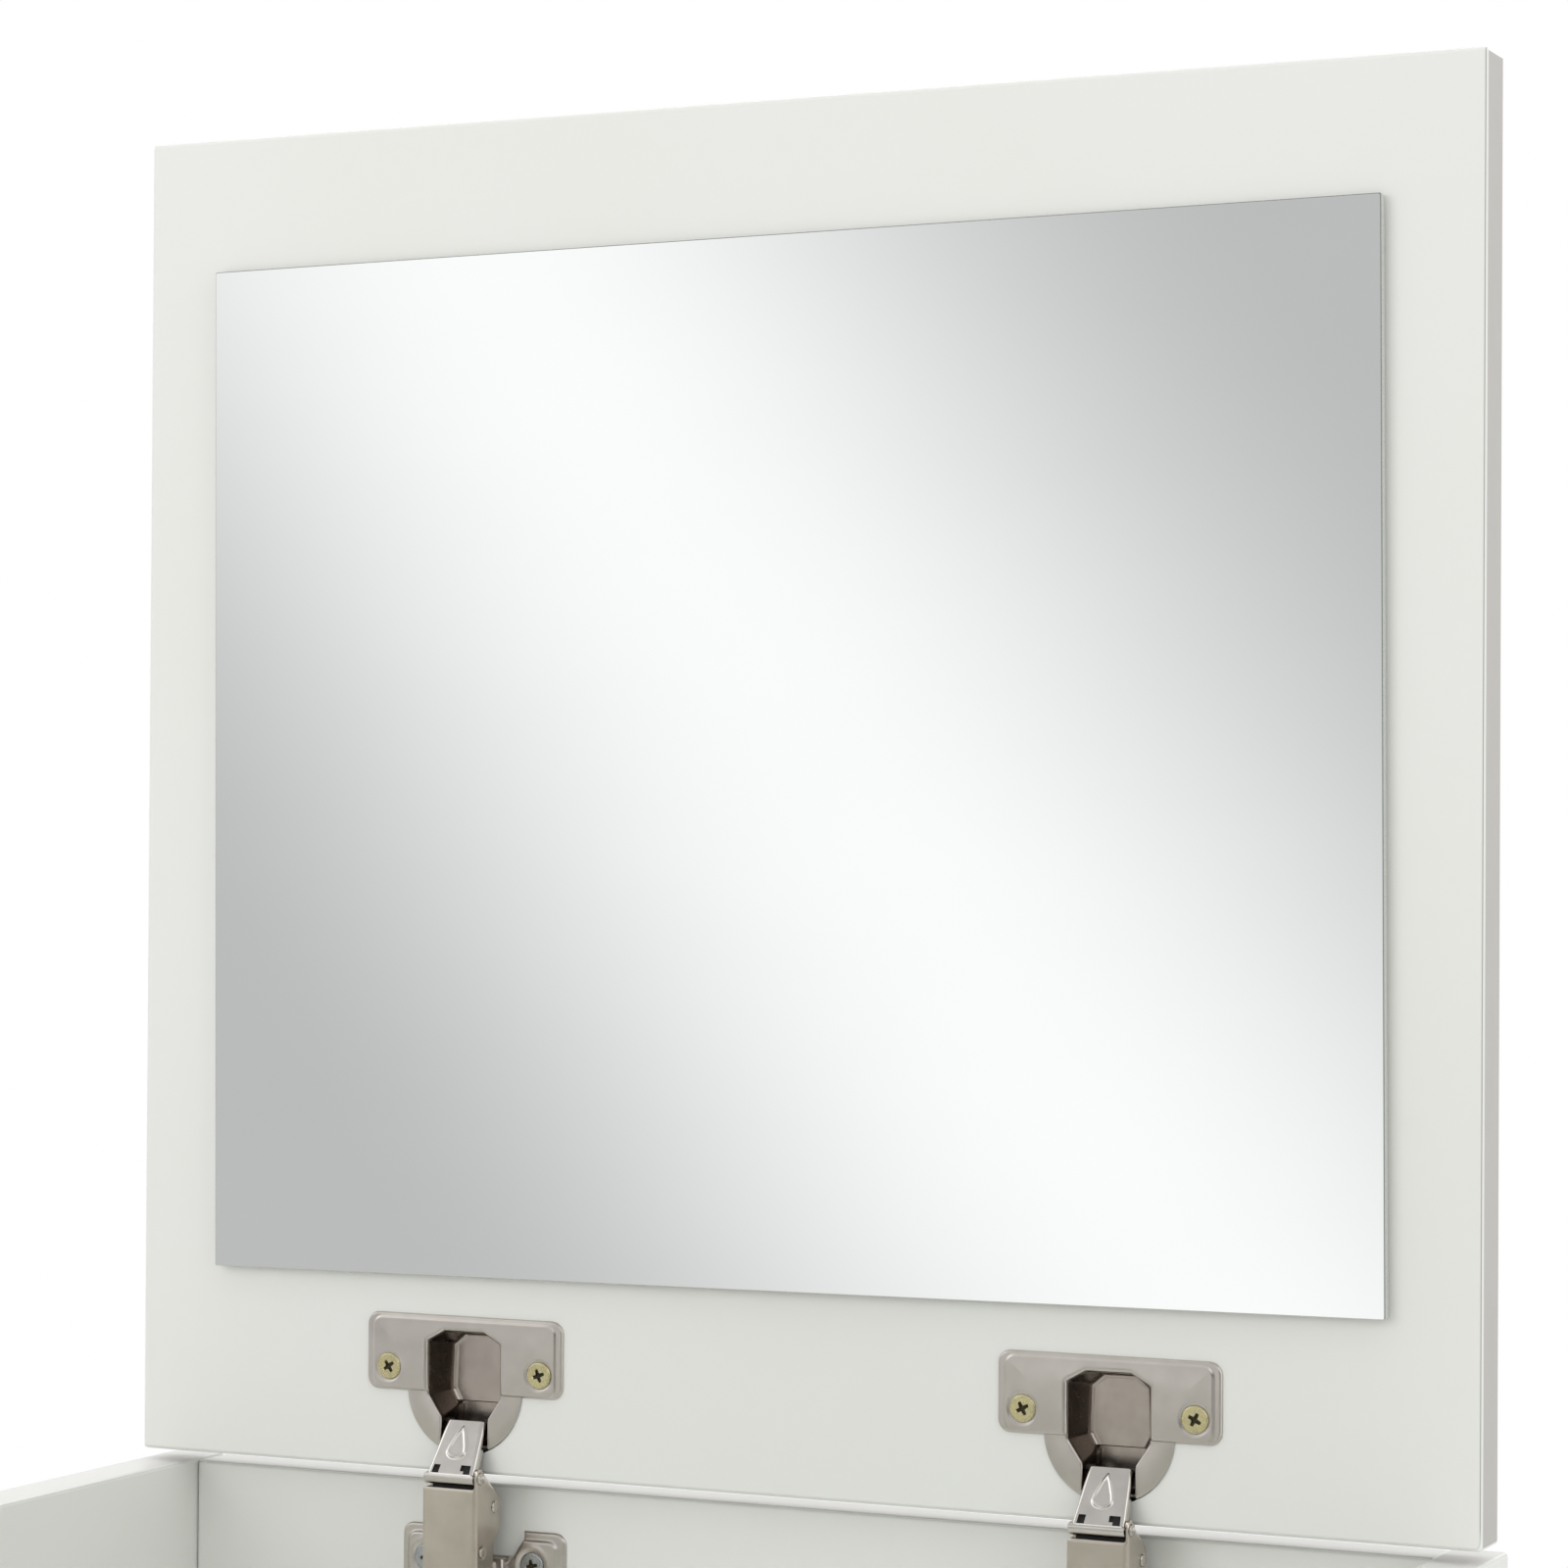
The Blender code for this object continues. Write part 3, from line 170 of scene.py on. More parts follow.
def melamine(name, node, settings, foils, side_tone_and_shade, joint_sides, joint_strength):
    """White melamine foil pressed on chipboard, with a white ABS band glued round the edges.

    It gives an even satin white with a very fine pearl texture; beside the band a hairline of glue shows on
    the chosen sides, each (axis, sign), and turns the corner between them with a small radius."""
    low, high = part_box(node)
    centre, half = (low + high) / 2, (high - low) / 2
    material, tree, shader = new_finish(name, Roughness=0.36, IOR=1.5, Specular_IOR_Level=0.38)
    place = add(tree, "TexCoord").outputs["Object"]
    place = add(tree, "Mapping", {"Vector": place, "Location": [-c for c in centre]}).outputs["Vector"]
    reach = add(tree, "VectorMath", {0: place}, operation="ABSOLUTE").outputs["Vector"]
    inset = add(tree, "VectorMath", {0: list(half), 1: reach}, operation="SUBTRACT").outputs["Vector"]
    insets = add(tree, "SeparateXYZ", {0: inset}).outputs
    thin = min(range(3), key=lambda i: half[i])
    edge = calc(tree, "MINIMUM", *[insets[i] for i in range(3) if i != thin])
    axes = add(tree, "SeparateXYZ", {0: place}).outputs
    joint = None
    for axis, sign in joint_sides:
        from_side = calc(tree, "SUBTRACT", half[axis], calc(tree, "MULTIPLY", axes[axis], sign))
        if joint is None:
            joint = from_side
        else:
            nearer = {0: joint, 1: from_side, 2: JOINT_TURN}
            joint = add(tree, "Math", nearer, operation="SMOOTH_MIN").outputs[0]
    band = settings.band_thickness
    off_joint = calc(tree, "ABSOLUTE", calc(tree, "SUBTRACT", joint, band))
    line = ranged(tree, off_joint, GLUE_HALF, GLUE_FADE, joint_strength, 0.0)
    if len(joint_sides) > 1:
        # The last side's line is fainter: there the band was pressed closer.
        line = calc(tree, "MULTIPLY", line, ranged(tree, from_side, 1.5 * MM, 6.0 * MM, 0.3, 1.0))
    on_band = ranged(tree, joint, band - BAND_FADE, band + BAND_FADE, 1.0, 0.0)
    on_side = ranged(tree, edge, 0.02 * MM, 0.06 * MM, 1.0, 0.0)
    # The foil's colour drifts by a shade over a hand's width, as it does with the print roller.
    drift = ranged(tree, grain(tree, HAND), 0.3, 0.7)
    surface = mixed(tree, drift, *foils)
    # The band's strip beside the joint is the band's own white, set lighter than the lid's foil as a painted
    # highlight on its rounded front.
    surface = mixed(tree, on_band, surface, settings.band)
    # The board's flat sides take the side tone: on the lid a grey that is painted shade, on the case the
    # band's own greyer white with some painted shade.
    surface = mixed(tree, on_side, surface, side_tone_and_shade)
    surface = mixed(tree, line, surface, settings.glue)
    # Rare specks of paper dust under the foil, half a millimetre across and fewer than one to a board.
    cells = add(tree, "TexVoronoi", {"Vector": place, "Scale": 1.0 / SPECK_SPACING})
    speck = ranged(tree, cells.outputs["Distance"], 0.004, 0.007, 0.35, 0.0)
    surface = mixed(tree, speck, surface, settings.glue)
    coated(tree, shader, surface, ranged(tree, grain(tree, 9 * MM), 0.2, 0.8, 0.33, 0.4))
    # The pearl texture is about 0.5 mm in the real foil and is drawn at 0.9 mm, the finest that shows.
    bumped(tree, shader, grain(tree, 0.9 * MM, 2.0), 0.012 * MM, 0.5)
    return material


def lacquer(name, settings):
    """White satin lacquer sprayed on beech: nearly even, with a faint grain that shows along the leg."""
    material, tree, shader = new_finish(name, Roughness=0.34, IOR=1.5, Coat_Weight=0.15, Coat_Roughness=0.25)
    fibres = grain(tree, 1.6 * MM, 4.0, (1.0, 1.0, 0.04))
    surface = mixed(tree, ranged(tree, fibres, 0.35, 0.75), settings.foil, settings.foil_warm)
    coated(tree, shader, surface, ranged(tree, grain(tree, 6 * MM), 0.2, 0.8, 0.3, 0.4))
    bumped(tree, shader, fibres, 0.02 * MM, 0.5)
    return material


def plated(name, light, dark, roughness, spread, grit, relief=0.0):
    """Metal of two close tones with blurred, slightly uneven reflections; grit and relief are in metres."""
    material, tree, shader = new_finish(name, Metallic=1.0)
    clouds = ranged(tree, grain(tree, 7 * MM), 0.3, 0.7)
    fine = grain(tree, grit, 2.0)
    blur = ranged(tree, fine, 0.25, 0.75, roughness - spread, roughness + spread)
    coated(tree, shader, mixed(tree, clouds, light, dark), blur)
    if relief:
        bumped(tree, shader, fine, relief, 0.4)
    return material


def satin_nickel(name, hinge):
    """Nickel on pressed steel after tumbling: warm grey with a soft sheen and no brushing direction."""
    return plated(name, hinge.nickel, hinge.nickel_shade, hinge.nickel_roughness, 0.02, 4 * MM)


def bright_nickel(name, hinge):
    """Nickel on polished strip: clear reflections with hard bright and dark bands."""
    return plated(name, hinge.bright, hinge.bright_shade, 0.17, 0.02, 3 * MM)


def pin_steel(name, hinge):
    """Nickel on cold-headed rivet wire: slightly darker than the sheet round it."""
    return plated(name, hinge.nickel_shade, hinge.nickel, 0.24, 0.05, 0.3 * MM, 0.004 * MM)


def painted_shade_black(name):
    """Near-black finish with a dull sheen, for sheets put where there is only shade: painted shade."""
    tones = (linear("141414"), linear("1E1D1C"))
    return two_tone(name, tones, 1.2 * MM, (0.01 * MM, 0.4), Roughness=0.5, IOR=1.48)


def painted_shade_steel(name):
    """Dark steel for the cup's rivets and pins: painted shade, as they sit in the cup's slot."""
    return plated(name, linear("4C4843"), linear("3A3733"), 0.35, 0.08, 0.3 * MM, 0.004 * MM)


def spring_steel(name):
    """Drawn spring wire: grey with a fine grit."""
    return plated(name, linear("A8A39C"), linear("8E8982"), 0.3, 0.06, 0.25 * MM, 0.006 * MM)


def yellow_zinc(name):
    """Yellow-passivated zinc: pale brass with greenish and pinkish clouds from the thin chromate film."""
    material, tree, shader = new_finish(name, Metallic=1.0, Roughness=0.26)
    clouds = grain(tree, 2.2 * MM, 2.0)
    film = add(tree, "ValToRGB", {"Fac": clouds})
    stops = ((0.3, "D6CDA8"), (0.5, "DBCF9E"), (0.62, "CCC7A0"), (0.75, "D8C39B"))
    ramp = film.color_ramp.elements
    while len(ramp) < len(stops):
        ramp.new(0.5)
    for element, (position, code) in zip(ramp, stops):
        element.position = position
        element.color = linear(code)
    coated(tree, shader, film.outputs["Color"], ranged(tree, grain(tree, 0.5 * MM), 0.3, 0.7, 0.2, 0.34))
    bumped(tree, shader, grain(tree, 0.4 * MM), 0.006 * MM, 0.5)
    return material


def recess_shade(name):
    """Bottom of a driven cross recess in dark steel tones: painted shade in the recess."""
    tones = (linear("2E2A1E"), linear("4A4430"))
    return two_tone(name, tones, 0.5 * MM, (0.02 * MM, 0.4), Metallic=0.6, Roughness=0.45)


def bright_zinc(name):
    """Bright zinc plating on fittings: bluish silver with crystalline mottling a few millimetres across."""
    return plated(name, linear("C3C6C8"), linear("A9ACAF"), 0.3, 0.07, 0.6 * MM, 0.006 * MM)


def silvered_glass(name, settings):
    """Float glass silvered on its back: a clear, even reflection with a trace of green and of wiping."""
    material, tree, shader = new_finish(name, Metallic=1.0, Roughness=0.015)
    wiping = grain(tree, 60 * MM, 3.0, (0.35, 1.0, 1.0))
    tone = mixed(tree, ranged(tree, wiping, 0.3, 0.7), settings.silver, settings.silver_shade)
    coated(tree, shader, tone, ranged(tree, wiping, 0.35, 0.8, 0.004, 0.02))
    return material


def ground_edge(name, dark, light):
    """Ground glass edge: a matt grind between two tones."""
    return two_tone(name, (dark, light), 0.4 * MM, (0.01 * MM, 0.3), (0.2, 0.45), Roughness=0.3, IOR=1.52)


def foam_tape(name):
    """Closed-cell foam tape: matt white with tiny pores."""
    return two_tone(name, (linear("EEEDE8"), linear("D9D8D2")), 0.8 * MM, (0.1 * MM, 0.6), Roughness=0.85)


def clear_silicone(name):
    """Clear silicone bumper: translucent and slightly tacky, so it looks soft and a little cloudy."""
    tones = (linear("F1F3F1"), linear("DDE2DF"))
    values = {"Roughness": 0.2, "IOR": 1.41, "Transmission_Weight": 0.7}
    return two_tone(name, tones, 1.5 * MM, (0.02 * MM, 0.4), (0.12, 0.3), **values)


def dress(nodes, material):
    """Give CAD nodes a finish."""
    for node in nodes:
        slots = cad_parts[node].data.materials
        slots.clear()
        slots.append(material)


# ---------------------------------------------------------------- surfaces
def smoothstep(x):
    """S-curve from 0 to 1: x squared times (3 - 2x), with x held to 0..1."""
    x = np.clip(x, 0.0, 1.0)
    return x * x * (3.0 - 2.0 * x)


def quarter_round(depth, radius):
    """Drop of a rounded border at a distance depth inside it: radius less the height of a circle's arc."""
    inside = np.clip(depth / radius, 0.0, 1.0)
    return radius * (1.0 - np.sqrt(np.clip(1.0 - (1.0 - inside) ** 2, 0.0, 1.0)))


def depth_in(outline, p, q):
    """Distance of each place (p, q) to a closed outline's nearest side, positive inside by even and odd."""
    start = np.asarray(outline, float)
    run = np.roll(start, -1, axis=0) - start
    from_start = np.stack([p, q], axis=-1)[..., None, :] - start
    share = np.clip((from_start * run).sum(-1) / (run**2).sum(-1), 0.0, 1.0)
    nearest = np.sqrt(((from_start - share[..., None] * run) ** 2).sum(-1)).min(-1)
    rise = np.where(run[:, 1] == 0.0, 1.0, run[:, 1])
    straddles = (start[:, 1] > q[..., None]) != (start[:, 1] + run[:, 1] > q[..., None])
    right_of = p[..., None] < start[:, 0] + from_start[..., 1] * run[:, 0] / rise
    inside = (straddles & right_of).sum(-1) % 2 == 1
    return np.where(inside, nearest, -nearest)


def arc(centre, radius, start, end, steps=6):
    """Points on a circle between two angles in degrees."""
    angles = np.radians(np.linspace(start, end, steps + 1))
    return [(centre[0] + radius * math.cos(a), centre[1] + radius * math.sin(a)) for a in angles]


def rounded_rectangle(left, foot, right, top, radius):
    """Outline of a rectangle with quarter-circle corners, counter-clockwise."""
    outline = arc((right - radius, foot + radius), radius, 270, 360)
    outline += arc((right - radius, top - radius), radius, 0, 90)
    outline += arc((left + radius, top - radius), radius, 90, 180)
    return outline + arc((left + radius, foot + radius), radius, 180, 270)


def cut_blank(low, high, spacing, depth):
    """Flat blank on a grid of squares. A grid point nearer to the outline than half a square moves on to
    it, along the gradient of depth(p, q); each square then keeps what its inside corners span. Returns p,
    q, depth, faces."""
    lines = [np.arange(a - spacing, b + 1.5 * spacing, spacing) for a, b in zip(low, high)]
    p, q = np.meshgrid(*lines, indexing="ij")
    inside = depth(p, q)
    nudge = 0.01 * spacing
    slope_p = (depth(p + nudge, q) - depth(p - nudge, q)) / (2 * nudge)
    slope_q = (depth(p, q + nudge) - depth(p, q - nudge)) / (2 * nudge)
    steep = slope_p**2 + slope_q**2
    near = (np.abs(inside) <= 0.5 * spacing) & (steep > 0.3)
    steep = np.where(near, steep, 1.0)
    p = np.where(near, p - inside * slope_p / steep, p).ravel()
    q = np.where(near, q - inside * slope_q / steep, q).ravel()
    inside = np.where(near, 0.0, inside)
    number = np.arange(inside.size).reshape(inside.shape)
    corners = np.stack([number[:-1, :-1], number[1:, :-1], number[1:, 1:], number[:-1, 1:]], -1)
    corners = corners.reshape(-1, 4)
    kept = inside.ravel()[corners] >= 0.0
    faces = [corners[kept.all(1)]]
    for k in range(4):
        three = (kept.sum(1) == 3) & ~kept[:, k]
        faces.append(corners[three][:, [(k + 1) % 4, (k + 2) % 4, (k + 3) % 4]])
    faces = [faces[0], np.concatenate(faces[1:])]
    faces = [f[polygon_area(p[f], q[f]) > 1e-3 * spacing**2] for f in faces]
    used = np.unique(np.concatenate([f.ravel() for f in faces]))
    renumber = np.zeros(inside.size, int)
    renumber[used] = np.arange(len(used))
    return p[used], q[used], np.maximum(inside.ravel()[used], 0.0), [renumber[f] for f in faces]


def polygon_area(x, y):
    """Signed area of each row of corners: half the sum of the cross products of neighbours."""
    return 0.5 * (x * np.roll(y, -1, 1) - np.roll(x, -1, 1) * y).sum(1)


def closed_sheet(front, back, faces):
    """Body between two layers of the same points, with a wall along every border edge of the front layer."""
    count = len(front)
    edges = np.concatenate([np.stack([f, np.roll(f, -1, 1)], -1).reshape(-1, 2) for f in faces])
    code = edges[:, 0] * count + edges[:, 1]
    border = edges[~np.isin(edges[:, 1] * count + edges[:, 0], code)]
    walls = np.column_stack([border[:, ::-1], border + count])
    shells = [*faces, *[f[:, ::-1] + count for f in faces], walls]
    return np.concatenate([front, back]), shells


def skin(rings):
    """Closed skin through a stack of rings, (rings, points, 3), with a fan of triangles at each end."""
    count, around = rings.shape[:2]
    number = np.arange(count * around).reshape(count, around)
    nearer, next_ring = number[:-1], number[1:]
    quads = np.stack([nearer, np.roll(nearer, -1, 1), np.roll(next_ring, -1, 1), next_ring], -1)
    first, last = count * around, count * around + 1
    fan_a = np.column_stack([np.full(around, first), np.roll(number[0], -1), number[0]])
    fan_b = np.column_stack([np.full(around, last), number[-1], np.roll(number[-1], -1)])
    points = np.concatenate([rings.reshape(-1, 3), rings[0].mean(0)[None], rings[-1].mean(0)[None]])
    return points, [quads.reshape(-1, 4), np.concatenate([fan_a, fan_b])]


def turned(profile, around=48):
    """Turned body: each (radius, height) of the profile swept round the axis, as rings of (x, y, height)."""
    radius, height = np.asarray(profile, float).T
    angle = np.linspace(0.0, 2 * math.pi, around, endpoint=False)
    rings = np.empty((len(radius), around, 3))
    rings[..., 0] = radius[:, None] * np.cos(angle)
    rings[..., 1] = radius[:, None] * np.sin(angle)
    rings[..., 2] = height[:, None]
    return skin(rings)


def outward(points, shells):
    """A body's faces turned outwards: its signed volume, the sum of each face's fan of tetrahedra to the
    body's middle, comes out positive."""
    middle_point = points.mean(0)
    volume = 0.0
    for shell in shells:
        corner = points[shell] - middle_point
        for k in range(1, shell.shape[1] - 1):
            volume += np.einsum("ij,ij->i", corner[:, 0], np.cross(corner[:, k], corner[:, k + 1])).sum()
    return shells if volume > 0 else [shell[:, ::-1] for shell in shells]


def new_object(name, data):
    """New object in the scene."""
    thing = bpy.data.objects.new(name, data)
    bpy.context.scene.collection.objects.link(thing)
    return thing


def add_piece(name, bodies, body, materials, replaces, crease=32.0):
    """One object from closed bodies, each (points in millimetres, shells, material index), on a CAD body."""
    points, faces, indices = [], [], []
    start = 0
    for coordinates, shells, index in bodies:
        for shell in outward(coordinates, shells):
            faces += (shell + start).tolist()
            indices += [index] * len(shell)
        points.append(coordinates)
        start += len(coordinates)
    mesh = bpy.data.meshes.new(name)
    mesh.from_pydata(np.concatenate(points) * MM, [], faces)
    for material in materials:
        mesh.materials.append(material)
    mesh.polygons.foreach_set("material_index", indices)
    mesh.polygons.foreach_set("use_smooth", [True] * len(faces))
    mesh.set_sharp_from_angle(angle=math.radians(crease))
    mesh.validate()
    piece = new_object(name, mesh)
    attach(piece, body)
    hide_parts(*replaces)
    return piece


def assign(piece, choose):
    """Set each face's material index from its middle and its normal."""
    faces = piece.data.polygons
    values = {}
    for key in ("center", "normal"):
        values[key] = np.zeros(len(faces) * 3)
        faces.foreach_get(key, values[key])
    index = choose(*[v.reshape(-1, 3) for v in values.values()])
    faces.foreach_set("material_index", index.astype(int))


def on_lid(centre_x, centre_z, a, b, height):
    """Places on the lid's inner face in millimetres: a to the right, b up, height towards the mirror side."""
    return np.stack([centre_x / MM + a, LID_FACE / MM - height, centre_z / MM + b], -1)


def beside(centre_x, across, y, z):
    """Places in a hinge's side view in millimetres: across from its middle, y and z from the case's rim."""
    return np.stack([centre_x / MM + across, LID_FACE / MM + y, CASE_TOP / MM + z], -1)


# ---------------------------------------------------------------- hinge cup
BARREL = 17.5
GAP_RADIUS = 17.4
GAP_DROP = 0.25
FLANGE_LOW, FLANGE_HIGH = (-31.25, -1.3), (31.25, 20.5)
PLATEAU_LOW, PLATEAU_HIGH = (-29.0, -0.9), (29.0, 19.3)
FLANGE_HEIGHT = 1.3
FLANGE_LEDGE = 0.4
SHEET_BACK = 0.02
SCREW_OPENING = 3.78
SCREW_HEAD = 3.7
OPENING = [(11.5, -1.9), (11.5, 13.0), (6.2, 16.0), (-6.2, 16.0), (-11.5, 13.0), (-11.5, -1.9), (-7.4, -8.0)]
OPENING += [(-7.4, -15.5), (7.4, -15.5), (7.4, -8.0)]
POCKET_FOOT = [(8.1, -1.2), (7.9, 11.0), (4.4, 14.2), (-4.4, 14.2), (-7.9, 11.0), (-8.1, -1.2), (-6.0, -5.2)]
POCKET_FOOT += [(-6.6, -15.0), (6.6, -15.0), (6.0, -5.2)]
FOOT_GROWTH = 0.6
POCKET_FLOOR = -9.2
FLOOR_BACK = -10.6
FLOOR_END = -4.6


def screw_places(part, x, z):
    """Middles of a part's left and right screw, in millimetres from (x, z)."""
    screws = [middle(f"{part}_{side}") for side in SIDES]
    return [((s.x - x) / MM, (s.z - z) / MM) for s in screws]


def beyond_screws(screws, a, b):
    """Distance of a place on a pressed plate to the nearest screw's opening, negative inside it."""
    return np.min([np.hypot(a - x, b - z) for x, z in screws], axis=0) - SCREW_OPENING


def walked(outline, steps=36):
    """Points along a closed outline, as many on each side, its corners softened by averaging neighbours."""
    start = np.asarray(outline, float)
    run = np.roll(start, -1, axis=0) - start
    share = np.linspace(0, 1, steps, endpoint=False)[:, None]
    points = (start[:, None] + share * run[:, None]).reshape(-1, 2)
    for _ in range(3):
        points = (np.roll(points, 1, axis=0) + 2 * points + np.roll(points, -1, axis=0)) / 4
    return points


def pocket_ring(share):
    """Pocket's wall at a share of its depth: matching points of the opening and the wall's foot, blended."""
    lip, foot = walked(OPENING), walked(POCKET_FOOT)
    foot = foot * (1.0 + FOOT_GROWTH / np.hypot(*foot.T))[:, None]
    return lip + (foot - lip) * share


def cup_barrel():
    """Barrel, rim and pocket as one skin: a stack of rings from the barrel's floor up its outside, over the
    rim, down the drafted pocket wall and in to the middle. The outer rings are circles through the same
    directions as the opening's points."""
    lip = pocket_ring(0.0)
    reach = np.hypot(*lip.T)
    toward = lip / reach[:, None]
    # The rim is cut away where the links pass through it: there the wall ends GAP_DROP below its top.
    gap = (lip[:, 1] < -15.3).astype(float)
    rings = [(r * toward, h + 0 * gap) for r, h in ((16.8, -11.3), (17.3, -11.15), (BARREL, -10.8))]
    for radius, height in ((BARREL, 0.28), (18.2, 0.3), (18.2, 0.42), (18.1, 0.54), (17.9, 0.6)):
        narrowed = radius - gap * (radius - GAP_RADIUS)
        rings.append((narrowed[:, None] * toward, height - gap * (height + GAP_DROP)))
    for inset, height in ((0.75, 0.6), (0.4, 0.53), (0.12, 0.34), (0.0, 0.05)):
        widened = np.minimum(reach + inset, GAP_RADIUS - 0.05)
        rings.append((widened[:, None] * toward, height - gap * (height + GAP_DROP + 0.02)))
    for share in np.linspace(0.0, 1.0, 9)[1:]:
        rings.append((pocket_ring(share), POCKET_FLOOR * share + 0 * gap))
    foot = pocket_ring(1.0)
    for scale, height in ((0.99, -10.6), (0.95, -10.85), (0.66, -10.85), (0.33, -10.85)):
        rings.append((foot * scale, height + 0 * gap))
    return skin(np.array([np.column_stack(ring) for ring in rings]))


def cup_flange(screws):
    """Screw plate: a pressed plateau above a narrow ledge, rolled down into the opening, and dished round
    each screw. Its height is a sum of S-curves and rounds of the distances to those outlines."""
    outer = rounded_rectangle(*FLANGE_LOW, *FLANGE_HIGH, 3.5)
    plateau = rounded_rectangle(*PLATEAU_LOW, *PLATEAU_HIGH, 2.8)

    def depth(a, b):
        return np.min([depth_in(outer, a, b), -depth_in(OPENING, a, b), beyond_screws(screws, a, b)], axis=0)

    a, b, _, faces = cut_blank(FLANGE_LOW, FLANGE_HIGH, 0.25, depth)
    inside = depth_in(plateau, a, b)
    height = FLANGE_HEIGHT - FLANGE_LEDGE * (1.0 - smoothstep(inside / 0.7 + 0.5))
    height += 0.2 * smoothstep(inside / 7.0)
    height -= quarter_round(np.maximum(depth_in(outer, a, b), 0.0), 0.7)
    height -= 0.8 * quarter_round(np.maximum(-depth_in(OPENING, a, b), 0.0), 1.5)
    height -= 0.3 * (1.0 - smoothstep(beyond_screws(screws, a, b) / 0.9))
    return a, b, np.maximum(height, 0.3), faces


def cup_floor():
    """Pressed floor plate of the pocket: flat above the links' slot, rising to the walls in a round fillet
    and rolled down at its free end."""
    walls = pocket_ring(0.88)

    def depth(a, b):
        return np.minimum(depth_in(walls, a, b), b - FLOOR_END)

    a, b, _, faces = cut_blank((-9.9, FLOOR_END), (9.9, 15.1), 0.3, depth)
    rise = quarter_round(np.maximum(depth_in(walls, a, b), 0.0), 1.5)
    rolled = quarter_round(np.maximum(b - FLOOR_END, 0.0), 0.35)
    return a, b, POCKET_FLOOR + np.minimum(rise, 1.1) - rolled, faces


def screw_head(turn):
    """Countersunk screw with a cross recess: rings in the plane, lowered inside a cross whose arms narrow
    outwards, and a plain stem below."""
    around = 120
    angle = np.linspace(0.0, 2 * math.pi, around, endpoint=False)
    radii = np.concatenate([np.linspace(0.15, 2.5, 22), [2.9, 3.2, 3.45, 3.6]])
    r, t = np.meshgrid(radii, angle, indexing="ij")
    folded = np.abs((t - turn + math.pi / 4) % (math.pi / 2) - math.pi / 4)
    along, off = r * np.cos(folded), r * np.sin(folded)
    half_width = 0.56 - 0.1 * along
    inside = smoothstep((half_width - off) / 0.12 + 0.5) * smoothstep((1.8 - along) / 0.16 + 0.5)
    top = -inside * (0.9 - 0.3 * along) - quarter_round(SCREW_HEAD - r, 0.35)
    front = np.stack([r * np.cos(t), r * np.sin(t), top], -1)
    stem = np.array([(SCREW_HEAD, -0.3), (3.66, -0.42), (1.62, -1.25), (1.6, -10.4), (0.4, -12.0)])
    back = np.empty((len(stem), around, 3))
    back[..., 0] = stem[:, :1] * np.cos(angle)
    back[..., 1] = stem[:, :1] * np.sin(angle)
    back[..., 2] = stem[:, 1:]
    return skin(np.concatenate([front, back]))


class VanityOtCups(bpy.types.Operator):
    """Hinge cups: the barrel and pocket, the screw plate and the pocket's floor plate"""

    bl_idname = "vanity.cups"
    bl_label = "Hinge cups"

    def execute(self, context):
        hinge = context.scene.vanity_hinge
        finish = satin_nickel("satin_nickel_plate", hinge)
        # The pocket's wall takes a much darker nickel: painted shade on the cup's inner wall.
        drawn = plated("pocket_wall_nickel_painted_shade", hinge.drawn, hinge.drawn_shade, 0.26, 0.03, 3 * MM)
        # The pocket's floor takes a darker nickel: painted shade at the bottom of the cup.
        shaded = plated("pocket_floor_nickel_painted_shade", hinge.floor, hinge.floor_shade, 0.24, 0.03, 3 * MM)

        # Wall faces take the darker wall nickel and the deep faces the darker floor nickel, both painted
        # shade.
        def by_depth(centres, normals):
            deep = (centres[:, 1] - LID_FACE) / MM
            wall = (np.abs(normals[:, 1]) < 0.6) & (deep > 0.1) & (deep < 8.0)
            return np.where(wall, 1, np.where(deep < 8.0, 0, 2))

        for name in HINGES:
            x = middle(name + "_cup").x
            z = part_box(name + "_cup")[0].z + CUP_RIM_RADIUS * MM
            rings, shells = cup_barrel()
            bodies = [(on_lid(x, z, *rings.T), shells, 0)]
            plate, floor = cup_flange(screw_places(name + "_cup_screw", x, z)), cup_floor()
            for (a, b, height, faces), back, index in ((plate, SHEET_BACK, 0), (floor, FLOOR_BACK, 2)):
                sheet = closed_sheet(on_lid(x, z, a, b, height), on_lid(x, z, a, b, back + 0 * a), faces)
                bodies.append((*sheet, index))
            finishes = [finish, drawn, shaded]
            cup = add_piece(name + "_cup_pressing", bodies, "lid", finishes, [name + "_cup"])
            assign(cup, by_depth)
        return {"FINISHED"}


def in_recess(places):
    """Whether a place lies in a screw's cross recess, seen from the middle of its face in millimetres."""
    return (places[:, 1] > 0.3) & (places[:, 1] < 1.3) & (np.hypot(places[:, 0], places[:, 2]) < 2.3)


